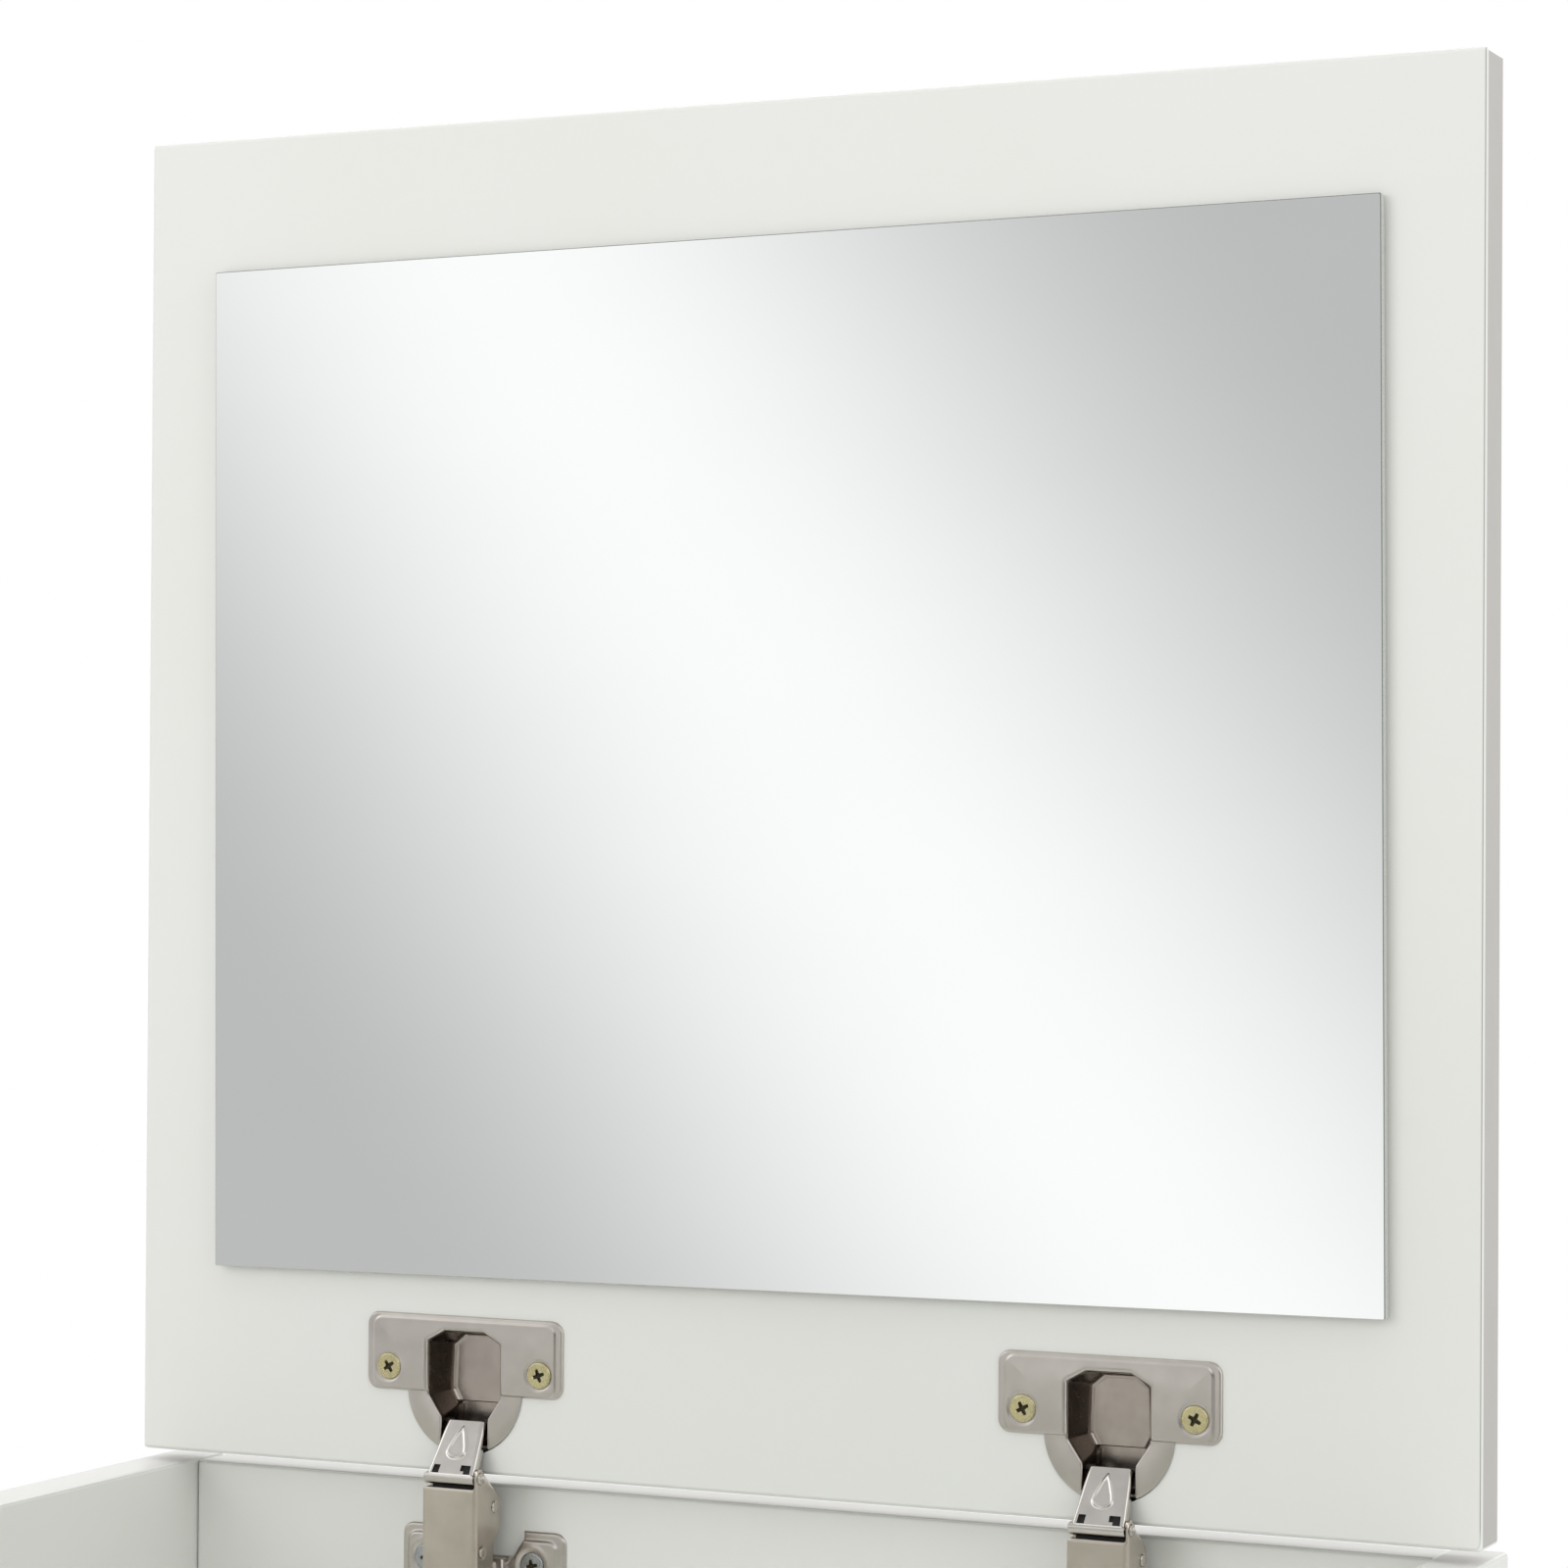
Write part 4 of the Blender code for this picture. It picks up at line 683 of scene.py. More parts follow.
class VanityOtScrews(bpy.types.Operator):
    """Countersunk screws of the cups and mounting plates"""

    bl_idname = "vanity.screws"
    bl_label = "Countersunk screws"

    def execute(self, context):
        finishes = {"cup_screw": ("yellow_zinc", yellow_zinc("yellow_passivated_zinc"))}
        finishes["plate_screw"] = ("bright_zinc", bright_zinc("zinc_plate_screw"))
        # The recess's deep faces take a dark tone: painted shade.
        dark = recess_shade("screw_recess_painted_shade")
        turns = {"hinge_left_cup_screw_left": 35, "hinge_left_cup_screw_right": 20}
        turns |= {"hinge_right_cup_screw_left": 28, "hinge_right_cup_screw_right": 62}
        for name in HINGES:
            for part, body in (("cup_screw", "lid"), ("plate_screw", "case")):
                slot, finish = finishes[part]
                for side in SIDES:
                    node = f"{name}_{part}_{side}"
                    points, shells = screw_head(math.radians(turns.get(node, 12)))
                    at = np.array(middle(node)) / MM
                    at[1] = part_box(node)[0].y / MM
                    placed = at + points[:, (0, 2, 1)] * (1, -1, 1)
                    bodies = [(placed, shells, 0)]
                    head = add_piece(node + "_turned", bodies, body, [finish, dark], [node])
                    assign(head, lambda middles, _: in_recess(middles / MM - at))
        return {"FINISHED"}


# ---------------------------------------------------------------- hinge links and arm
LINK_SHEET = 1.0
LINK_ROLL = 2.2
LINK_LIP = 0.35
LINK_HALF = 7.35
LINK_TAPER = 1.15
LINK_BEND = 0.9
BEND_GROWTH = 0.6
TIP_OVERHANG = 0.85
THINNED_FROM = 1.25
THINNED_SLOPE = 0.76
THINNED_RUN = 1.2
ROLL_ENDS = (-8.2, LINK_HALF)
ROLL_ROWS = 40
FLAT_POINTS = 81


class VanityOtOuterLinks(bpy.types.Operator):
    """Outer links: polished channels with a pressed teardrop, rolled round the arm pin"""

    bl_idname = "vanity.outer_links"
    bl_label = "Outer links"

    def execute(self, context):
        hinge = context.scene.vanity_hinge
        finishes = [bright_nickel("bright_nickel_link", hinge), painted_shade_black("black_sheet_painted_shade")]
        for name in HINGES:
            node = name + "_outer_link"
            bodies = outer_link(name, middle(node).x, hinge.teardrop / MM)
            add_piece(name + "_link_pressing", bodies, "outer_links", finishes, [node])
        return {"FINISHED"}


def side_place(node):
    """A node's middle in its hinge's side view, in millimetres."""
    at = middle(node)
    return np.array([(at.y - LID_FACE) / MM, (at.z - CASE_TOP) / MM])


def teardrop_relief(across, along):
    """Pressed teardrop: a raised field with a ridge along its outline, by the distance to an outline that
    runs from a round foot in straight sides to a point."""
    foot = [(2.7 * px, 6.9 + 1.9 * py) for px, py in arc((0.0, 0.0), 1.0, 180, 360, 14)]
    sides = [(0.0, 14.2), (-0.95, 12.4), (-2.35, 8.5), *foot, (2.35, 8.5), (0.95, 12.4)]
    depth = depth_in(sides, across, along)
    return 0.8 * np.exp(-((depth / 0.35) ** 2)) + 0.45 * smoothstep(depth / 0.8 + 0.5)


def link_section(span, inset):
    """Link's section in side view, one layer of the sheet: round the roll, up the web and over the lip at
    the tip. Returns each row's place along and off the pivot line."""
    around_roll = np.radians(np.linspace(-100.0, 90.0, ROLL_ROWS))
    lip = np.radians(np.linspace(90.0, 5.0, 8))[1:]
    roll = LINK_ROLL - inset
    web_end = span - TIP_OVERHANG
    web = np.linspace(0.0, web_end, 90)[1:]
    s = np.concatenate([-roll * np.cos(around_roll), web, web_end + LINK_LIP * np.cos(lip)])
    n = np.concatenate([roll * np.sin(around_roll), roll + 0 * web, roll - LINK_LIP * (1 - np.sin(lip))])
    if inset:
        # The tip is thinned from inside, where the inner link comes past it when the lid closes.
        n = np.maximum(n, THINNED_FROM + THINNED_SLOPE * (s - span + THINNED_RUN))
    return s, n


def link_layer(span, inset):
    """One layer of the link as a grid of places across, along and off the pivot line.

    Across, each row runs flat, round a bend that widens to the tip, and down the cheek at either side."""
    s, n = link_section(span, inset)
    flat = np.linspace(-1.0, 1.0, FLAT_POINTS)
    bend = np.radians(np.linspace(0.0, 90.0, 9))[1:]
    cheek = np.linspace(0.0, 1.0, 7)[1:]
    taper = np.clip(s / span, 0.0, 1.0)
    half = LINK_HALF - LINK_TAPER * taper - inset
    corner = LINK_BEND + BEND_GROWTH * (taper - inset)
    flat_x = (half - corner)[:, None] * flat
    # The roll runs straight across the arm, over its cut-down left ear.
    flat_x[: ROLL_ROWS - 2] = 0.5 * (ROLL_ENDS[0] + ROLL_ENDS[1]) + 0.5 * (ROLL_ENDS[1] - ROLL_ENDS[0]) * flat
    turn_x = (half - corner)[:, None] + corner[:, None] * np.sin(bend)
    turn_n = n[:, None] - corner[:, None] * (1 - np.cos(bend))
    foot = np.minimum(-0.4, turn_n[:, -1])
    foot[:ROLL_ROWS] = turn_n[:ROLL_ROWS, -1]
    cheek_n = turn_n[:, -1:] + (foot - turn_n[:, -1])[:, None] * cheek
    right_x = np.hstack([turn_x, half[:, None] + 0 * cheek])
    across = np.hstack([-right_x[:, ::-1], flat_x, right_x])
    off = np.hstack([cheek_n[:, ::-1], turn_n[:, ::-1], n[:, None] + 0 * flat, turn_n, cheek_n])
    return across, s[:, None] + 0 * across, off


def link_faces(along):
    """Link's faces on its grid, without the two windows in the web's foot and the cheeks beside the roll."""
    rows, wide = along.shape
    number = np.arange(rows * wide).reshape(rows, wide)
    corners = np.stack([number[:-1, :-1], number[:-1, 1:], number[1:, 1:], number[1:, :-1]], -1)
    row = np.arange(rows - 1)[:, None]
    place = (np.arange(wide - 1) - (wide - 2) / 2)[None] / (FLAT_POINTS / 2)
    mid_s = (along[:-1, :1] + along[1:, :1]) / 2
    on_web = (row >= ROLL_ROWS - 1) & (mid_s > 0.0)
    left_window = on_web & (mid_s < 2.5) & (place > -0.92) & (place < -0.6)
    tooth = (mid_s < 0.9) & (place < 0.62)
    right_window = on_web & (mid_s < 2.8) & (place > 0.44) & (place < 0.94) & ~tooth
    no_cheek = (row < ROLL_ROWS - 1) & (np.abs(place) > 1.0)
    return corners[~(left_window | right_window | no_cheek)]


def outer_link(name, x, relief):
    """Channel link, with the teardrop pressed into its web, and a black sheet behind its windows as painted
    shade.
    """
    pivot, tip = side_place(name + "_arm_pin"), side_place(name + "_cup_rivet_left")
    lean = math.atan2(tip[1] - pivot[1], tip[0] - pivot[0])
    span = math.dist(pivot, tip)

    def leaning(across, along, off):
        y = pivot[0] + along * math.cos(lean) - off * math.sin(lean)
        z = pivot[1] + along * math.sin(lean) + off * math.cos(lean)
        return beside(x, across, y, z)

    across, along, off = link_layer(span, 0.0)
    pressed = relief * teardrop_relief(across, along) * (along > 3.0)
    front = leaning(across, along, off + pressed).reshape(-1, 3)
    across, inner_along, off = link_layer(span, LINK_SHEET)
    back = leaning(across, inner_along, off + pressed).reshape(-1, 3)
    faces = link_faces(along)
    used = np.unique(faces)
    renumber = np.zeros(len(front), int)
    renumber[used] = np.arange(len(used))
    link = closed_sheet(front[used], back[used], [renumber[faces]])
    # Black sheet right under the web's foot: painted shade that shows in the windows.
    shade_sheet, shells = rounded_block((-6.1, -0.3, 1.12), (6.1, 3.4, 1.18), 0.02)
    return [(*link, 0), (leaning(*shade_sheet.T), shells, 1)]


ARM_HALF = 8.65
ARM_FRONT = -8.9
ARM_BEND = 1.2
ARM_WALL = 1.2
FOLD = ARM_HALF - ARM_BEND
FOLD_END = FOLD + ARM_BEND * math.pi / 2
ARM_FOOT = -59.0
SLOT_MIDDLE = -44.0
ACCESS_MIDDLE = -28.0
ARM_LOBE = 5.6
ARM_EAR = (-6.4, 3.2)
ARM_RIVET = (-5.2, -17.5)
PIN = 1.1
ARM_RIVET_PROFILE = [(0.05, 0.4), (1.1, 0.4), (1.35, 0.3), (1.45, 0.1), (1.45, -1.2), (0.05, -1.2)]


def folded_arm(x):
    """Arm pressed from one blank: the outline is cut in the flat and folded round two bends into a channel.

    A flat place p turns into x = p on the web, goes round a quarter circle, and then runs back along the
    cheek."""

    def unfolded(y):
        return FOLD_END + y - ARM_FRONT - ARM_BEND

    def side(places):
        return [(unfolded(y), z) for y, z in places]

    back = [(1.6, ARM_FOOT), (1.6, -15.5), (4.8, -12.9), (ARM_LOBE, -11.9), (ARM_LOBE, -4.2), (4.0, -2.6)]
    right = side(back + arc(ARM_EAR, 2.6, 20, 190, 12) + [(-8.9, 0.9), (-9.3, 0.3)])
    hook = [(-2.4, 0.6), (-2.4, 4.0), (-3.2, 4.5), *arc(ARM_EAR, 1.05, 90, 285, 10), (-5.2, 3.0), (-3.9, 2.9)]
    left = side(back + hook + [(-3.9, 0.2), (-9.3, 0.3)])
    outline = right + [(-p, z) for p, z in reversed(left)]
    lobe = unfolded(ARM_LOBE)

    def depth(p, z):
        slot = np.hypot(p, np.maximum(np.abs(z - SLOT_MIDDLE) - 2.5, 0.0)) - 2.4
        access = np.hypot(p, z - ACCESS_MIDDLE) - 2.0
        rivets = np.hypot(np.abs(p) - unfolded(ARM_RIVET[0]), z - ARM_RIVET[1]) - 1.75
        return np.min([depth_in(outline, p, z), slot, access, rivets], axis=0)

    p, z, inside, faces = cut_blank((-lobe, ARM_FOOT), (lobe, 5.7), 0.4, depth)
    hand = np.sign(p)
    run = np.abs(p)
    turn = np.clip((run - FOLD) / ARM_BEND, 0.0, math.pi / 2)
    layers = []
    for radius in (ARM_BEND, ARM_BEND - ARM_WALL):
        rounding = quarter_round(inside, 0.35) * (1.0 if radius else -1.0)
        reach = radius - rounding * 0.6
        across = hand * (np.minimum(run, FOLD) + reach * np.sin(turn))
        y = ARM_FRONT + ARM_BEND - reach * np.cos(turn) + np.maximum(run - FOLD_END, 0.0)
        layers.append(beside(x, across, y, z))
    return closed_sheet(*layers, faces)


def pin_body(x, centre, left, right):
    """Pin across the arm with a low head at its right end, and one at its left end where that comes through
    the arm: a turned profile laid along x."""
    head = [(0.05, 0.6), (1.2, 0.6), (1.6, 0.45), (1.75, 0.2), (1.75, 0.02), (PIN, 0.0)]
    profile = [(r, right + h) for r, h in head]
    if left < -ARM_HALF:
        profile += [(r, left - h) for r, h in reversed(head)]
    else:
        profile += [(PIN, left), (0.05, left)]
    points, shells = turned(profile)
    return beside(x, points[:, 2], centre[0] + points[:, 0], centre[1] + points[:, 1]), shells


class VanityOtArms(bpy.types.Operator):
    """Hinge arms with their pins, fixing screws and springs"""

    bl_idname = "vanity.arms"
    bl_label = "Hinge arms"

    def execute(self, context):
        hinge = context.scene.vanity_hinge
        nickel = plated("satin_nickel_arm", hinge.arm, hinge.arm_shade, hinge.nickel_roughness, 0.02, 4 * MM)
        finishes = [nickel, painted_shade_black("black_block_painted_shade")]
        steel = pin_steel("nickel_rivet_steel", hinge)
        dress([f"{name}_spring" for name in HINGES], spring_steel("drawn_spring_wire"))
        dress([f"{name}_fixing_screw" for name in HINGES], bright_zinc("bright_zinc_screw"))
        for name in HINGES:
            x = middle(name + "_arm").x
            # Black block behind the arm's top edge: painted shade that shows in the gap below the link's
            # roll.
            shade_block = block_beside(x, (-7.3, -5.3, -6.0), (7.3, -4.2, 0.8), 0.2, 1)
            bodies = [(*folded_arm(x), 0), shade_block]
            for side in (-1, 1):
                points, shells = turned(ARM_RIVET_PROFILE, 32)
                across = side * (ARM_HALF + points[:, 2])
                rivet = beside(x, across, ARM_RIVET[0] + points[:, 0], ARM_RIVET[1] + points[:, 1])
                bodies.append((rivet, shells, 0))
            add_piece(name + "_arm_pressing", bodies, "case", finishes, [name + "_arm"])
            reach = ARM_HALF + 0.05
            for key, left in (("arm_pin", -7.3), ("inner_pin", -reach)):
                node = f"{name}_{key}"
                pin = (*pin_body(x, side_place(node), left, reach), 0)
                add_piece(node + "_turned", [pin], "case", [steel], [node])
        return {"FINISHED"}


class VanityOtInnerLinks(bpy.types.Operator):
    """Inner links, cup pins and rivets: the frame's own shapes, the links in nickel and the pins and rivets
    in dark steel as painted shade
    """

    bl_idname = "vanity.inner_links"
    bl_label = "Inner links and rivets"

    def execute(self, context):
        hinge = context.scene.vanity_hinge
        dress([f"{name}_inner_link" for name in HINGES], satin_nickel("satin_nickel_inner_link", hinge))
        rivets = [f"{name}_cup_rivet_{side}" for name in HINGES for side in SIDES]
        # Rivets and cup pins are dark steel: painted shade in the cup's slot.
        dress(rivets + [f"{name}_cup_pin" for name in HINGES], painted_shade_steel("rivet_steel_painted_shade"))
        return {"FINISHED"}


PLATE_FOOT = -56.0
WING_LOW, WING_HIGH = (-25.0, -32.7), (27.3, -13.1)
WING_HEIGHT = 1.75
WING_LEDGE = 0.85


def wing_outline(right, left, low, high, radius, notch):
    """Outline of both wings: round outer corners, by the places of their arcs' centres, and between the
    wings the notch's right half and its mirror image."""
    outline = arc((right, low), radius, 270, 360) + arc((right, high), radius, 0, 90) + notch
    outline += [(-a, b) for a, b in reversed(notch)]
    return outline + arc((left, high), radius, 90, 180) + arc((left, low), radius, 180, 270)


def wing_plate(screws):
    """Mounting plate's wings: a blank cut to the wings' outline, a plateau above its ledge, and a boss
    round each screw; the ledge runs out into a square tab beside the hinge's arm."""
    notch = [(14.0, WING_HIGH[1]), (14.0, -15.6), (10.5, -20.5)]
    outline = wing_outline(23.9, -21.6, -29.3, -16.5, 3.4, notch)
    notch = [(13.6, -15.6), (10.9, -19.8), (9.0, -22.0)]
    plateau = wing_outline(22.2, -20.2, -28.2, -18.2, 2.6, notch)

    def depth(a, b):
        return np.minimum(depth_in(outline, a, b), beyond_screws(screws, a, b))

    a, b, _, faces = cut_blank(WING_LOW, WING_HIGH, 0.3, depth)
    height = WING_HEIGHT - WING_LEDGE * (1.0 - smoothstep(depth_in(plateau, a, b) / 1.1 + 0.5))
    height -= quarter_round(np.maximum(depth_in(outline, a, b), 0.0), 0.8)
    ring = beyond_screws(screws, a, b)
    height += 0.2 * np.exp(-(((ring - 1.5) / 0.7) ** 2)) - 0.3 * (1.0 - smoothstep(ring / 0.7))
    return a, b, np.maximum(height, 0.32), faces


def rounded_block(low, high, radius):
    """Block with rounded edges: rounded rectangles stacked along z, drawn in at both ends."""
    levels = np.array([(0.0, radius), (0.3 * radius, 0.3 * radius), (radius, 0.0)])
    heights = np.concatenate([low[2] + levels[:, 0], high[2] - levels[::-1, 0]])
    insets = np.concatenate([levels[:, 1], levels[::-1, 1]])
    rings = []
    for z, inset in zip(heights, insets):
        outline = rounded_rectangle(low[0] + inset, low[1] + inset, high[0] - inset, high[1] - inset, radius)
        rings.append([(px, py, z) for px, py in outline])
    return skin(np.array(rings))


def block_beside(x, low, high, radius, index=0):
    """Rounded block in a hinge's side view, as a body with its material index."""
    points, shells = rounded_block(low, high, radius)
    return beside(x, *points.T), shells, index


class VanityOtMountingPlates(bpy.types.Operator):
    """Mounting plates: pressed wings and the ridge that carries the arm"""

    bl_idname = "vanity.mounting_plates"
    bl_label = "Mounting plates"

    def execute(self, context):
        hinge = context.scene.vanity_hinge
        finish = satin_nickel("satin_nickel_wing", hinge)
        face = (BACK_INNER - LID_FACE) / MM
        for name in HINGES:
            x = middle(name + "_mounting_plate").x
            a, b, height, faces = wing_plate(screw_places(name + "_plate_screw", x, CASE_TOP))
            front, back = beside(x, a, face - height, b), beside(x, a, face - SHEET_BACK + 0 * a, b)
            ridge = block_beside(x, (-6.9, -1.0, PLATE_FOOT), (6.9, face - 0.3, -21.5), 1.0)
            base = block_beside(x, (-9.0, 6.0, PLATE_FOOT), (9.0, face - 0.3, -20.9), 0.6)
            bodies = [(*closed_sheet(front, back, faces), 0), ridge, base]
            node = name + "_mounting_plate"
            add_piece(name + "_plate_pressing", bodies, "case", [finish], [node])
        return {"FINISHED"}


# ---------------------------------------------------------------- mirror
def mirror_pane(settings):
    """Mirror's pane: rounded rectangles stacked from its back to its seamed face. Its width and height are
    worked out from the box that it fills while it stands at its skew."""
    low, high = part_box("mirror_glass")
    tilt = settings.skew
    size = np.array([high.x - low.x, high.z - low.z]) / MM
    turn = abs(math.tan(tilt))
    width = (size[0] - turn * size[1]) / (1 - turn**2) * math.hypot(1, turn)
    tall = (size[1] - turn * size[0]) / (1 - turn**2) * math.hypot(1, turn)
    thick = (high.y - low.y) / MM
    seam = settings.seam / MM
    section = [(0.8, 0.0), (0.1, 0.0), (0.0, 0.15), (0.0, thick - seam), (seam, thick), (2.0, thick)]
    stack = []
    for inset, y in section:
        right, top = width / 2 - inset, tall / 2 - inset
        outline = rounded_rectangle(-right, -top, right, top, 0.5)
        stack.append([(a, b, y) for a, b in outline])
    points, shells = skin(np.array(stack))
    a, b, y = points.T
    at = middle("mirror_glass")
    x = at.x / MM + a * math.cos(tilt) - b * math.sin(tilt)
    z = at.z / MM + a * math.sin(tilt) + b * math.cos(tilt)
    return np.stack([x, high.y / MM - y, z], -1), shells


class VanityOtMirror(bpy.types.Operator):
    """Mirror: a silvered pane with seamed edges, on foam tape"""

    bl_idname = "vanity.mirror"
    bl_label = "Mirror"

    def execute(self, context):
        settings = context.scene.vanity_mirror
        dress(["mirror_tape"], foam_tape("closed_cell_foam_tape"))
        finishes = [
            ground_edge("ground_glass_side", settings.side, settings.side_shade),
            silvered_glass("silvered_float_glass", settings),
            # The arris takes a dark tone: a painted reflection.
            ground_edge("glass_arris_painted_reflection", settings.edge, settings.edge_light),
        ]
        bodies = [(*mirror_pane(settings), 0)]
        pane = add_piece("mirror_pane", bodies, "lid", finishes, ["mirror_glass"], 20.0)

        def by_facing(_, normals):
            # The arris is dark, a painted reflection, all round the pane but for its foot, where the seam
            # faces down.
            arris = (normals[:, 1] < -0.2) & (normals[:, 2] > -0.3)
            return np.where(normals[:, 1] < -0.999, 1, np.where(arris, 2, 0))

        assign(pane, by_facing)
        return {"FINISHED"}


# ---------------------------------------------------------------- boards, legs and fittings
RIGHT_SIDE = (0, 1)
LOWER_SIDE = (2, -1)
UPPER_SIDE = (2, 1)


class VanityOtBoards(bpy.types.Operator):
    """Melamine boards of the case and the lid"""

    bl_idname = "vanity.boards"
    bl_label = "Boards"

    def execute(self, context):
        settings = context.scene.vanity_board
        lid_foils = (settings.foil, settings.foil_warm)
        # The case's foils are lighter copies of the lid's white: painted light, set for the case's shaded
        # inner faces.
        painted_light_case_tones = (settings.painted_light_case_white, settings.painted_light_case_warm)
        lid = (lid_foils, settings.lid_side_painted_shade, (RIGHT_SIDE, LOWER_SIDE), settings.lid_joint)
        case = (painted_light_case_tones, settings.case_side_tone_and_shade, (UPPER_SIDE,), settings.case_joint)
        for node in BOARDS:
            looks = lid if node == "lid_panel" else case
            dress([node], melamine(f"melamine_board_{node}", node, settings, *looks))
        return {"FINISHED"}


class VanityOtLegs(bpy.types.Operator):
    """Lacquered legs and their zinc bolts"""

    bl_idname = "vanity.legs"
    bl_label = "Legs"

    def execute(self, context):
        white = lacquer("satin_lacquer_leg", context.scene.vanity_board)
        dress([f"leg_{corner}" for corner in CORNERS], white)
        dress([f"leg_bolt_{corner}" for corner in CORNERS], bright_zinc("bright_zinc_leg_bolt"))
        return {"FINISHED"}


class VanityOtFittings(bpy.types.Operator):
    """Cam locks, cam bolts and bumpers"""

    bl_idname = "vanity.fittings"
    bl_label = "Case fittings"

    def execute(self, context):
        ends = [f"{end}_{side}" for end in ("front", "back") for side in SIDES]
        cams = [f"{kind}_{end}" for kind in ("cam_lock", "cam_bolt") for end in ends]
        dress(cams, bright_zinc("bright_zinc_cam"))
        dress(["bumper_left", "bumper_right"], clear_silicone("clear_silicone_bumper"))
        return {"FINISHED"}


# ---------------------------------------------------------------- studio
def square(name, width, depth, material, matrix):
    """Flat stage board, put in place through its vertices."""
    mesh = bpy.data.meshes.new(name)
    corners = np.array([(-1, -1, 0), (1, -1, 0), (1, 1, 0), (-1, 1, 0)]) * (width / 2, depth / 2, 0.0)
    mesh.from_pydata(corners, [], [(0, 1, 2, 3)])
    mesh.transform(matrix)
    mesh.materials.append(material)
    board = new_object(name, mesh)
    return board


def studio_floor(settings):
    """Plain pale floor that fades into the white backdrop away from the table and keeps its shadow."""
    material = bpy.data.materials.new("pale_studio_floor")
    tree = bare_tree(material)
    place = add(tree, "TexCoord").outputs["Object"]
    distance = add(tree, "VectorMath", {0: place}, operation="LENGTH").outputs["Value"]
    paint = add(tree, "BsdfDiffuse", {"Color": settings.floor})
    white = add(tree, "Emission", {"Color": (1.0, 1.0, 1.0, 1.0)})
    fade = ranged(tree, distance, 1.0, 2.6, smooth=True)
    shown = add(tree, "LightPath").outputs["Is Camera Ray"]
    share = calc(tree, "MULTIPLY", fade, shown)
    surface = add(tree, "MixShader", {0: share, 1: paint.outputs[0], 2: white.outputs[0]})
    add(tree, "OutputMaterial", {"Surface": surface.outputs[0]})
    square("studio_floor", 9.0, 9.0, material, Matrix.Identity(4))


def softbox_card(settings):
    """Soft band of light that the mirror shows: a raised cosine across the band, grey beyond it."""
    material = bpy.data.materials.new("softbox_band")
    tree = bare_tree(material)
    place = add(tree, "TexCoord").outputs["Object"]
    axes = add(tree, "SeparateXYZ", {0: place}).outputs
    turn = settings.band_turn
    across = calc(tree, "MULTIPLY", axes["X"], math.cos(turn))
    across = calc(tree, "ADD", across, calc(tree, "MULTIPLY", axes["Z"], math.sin(turn)))
    off = calc(tree, "ABSOLUTE", calc(tree, "SUBTRACT", across, settings.band_place))
    off = calc(tree, "MINIMUM", calc(tree, "DIVIDE", off, settings.band_half), 1.0)
    wave = calc(tree, "COSINE", calc(tree, "MULTIPLY", off, math.pi))
    level = ranged(tree, wave, -1.0, 1.0, settings.band_grey, settings.band_white)
    glow = add(tree, "Emission", {"Strength": level})
    add(tree, "OutputMaterial", {"Surface": glow.outputs[0]})
    matrix = Matrix.Translation((-0.85, -1.6, 1.0)) @ Matrix.Rotation(math.radians(90), 4, "X")
    card = square("softbox_card", 2.4, 2.2, material, matrix)
    for ray in ("camera", "diffuse", "transmission", "volume_scatter", "shadow"):
        setattr(card, "visible_" + ray, False)


HIGH_SOFTBOX = 0.46


def studio_world(settings):
    """White backdrop for the camera and through clear pieces; soft even light on every surface.

    Reflections see a studio that is bright behind and dimmer in front, with softboxes high up and at the
    right and a dark end between front and right."""
    world = bpy.data.worlds.new("studio_world")
    tree = bare_tree(world)
    path = add(tree, "LightPath").outputs
    seen = calc(tree, "MAXIMUM", path["Is Camera Ray"], path["Is Transmission Ray"])
    toward = add(tree, "TexCoord").outputs["Generated"]
    axes = add(tree, "SeparateXYZ", {0: toward}).outputs
    front = ranged(tree, axes["Y"], -0.6, 0.5, settings.front_level, 1.0, smooth=True)
    # Directions are unit vectors: the high softbox is a band round one height, the right one a cap round +x.
    off_box = calc(tree, "ABSOLUTE", calc(tree, "SUBTRACT", axes["Z"], HIGH_SOFTBOX))
    overhead = ranged(tree, off_box, 0.12, 0.28, settings.overhead_level, 0.0, smooth=True)
    beside_box = ranged(tree, axes["X"], 0.84, 0.94, 0.0, settings.side_level, smooth=True)
    dark = add(tree, "VectorMath", {0: toward, 1: settings.dark_toward}, operation="DOT_PRODUCT")
    dark = ranged(tree, dark.outputs["Value"], 0.6, 0.95, 1.0, settings.dark_level, smooth=True)
    mirrored = calc(tree, "ADD", calc(tree, "MULTIPLY", front, dark), calc(tree, "ADD", overhead, beside_box))
    level = add(tree, "Mix", {0: path["Is Glossy Ray"], 2: settings.ambient, 3: mirrored}).outputs[0]
    level = add(tree, "Mix", {0: seen, 2: level, 3: 1.0}).outputs[0]
    sky = add(tree, "Background", {"Color": (1.0, 1.0, 1.0, 1.0), "Strength": level})
    add(tree, "OutputWorld", {"Surface": sky.outputs[0]})
    bpy.context.scene.world = world


def standing(place, turn, rise, roll=0.0):
    """Matrix of a camera or a lamp: at a place, turned to the left, then looking up, then rolled."""
    matrix = Matrix.Translation(place) @ Matrix.Rotation(turn, 4, "Z")
    matrix = matrix @ Matrix.Rotation(math.pi / 2 + rise, 4, "X")
    return matrix @ Matrix.Rotation(roll, 4, "Z")


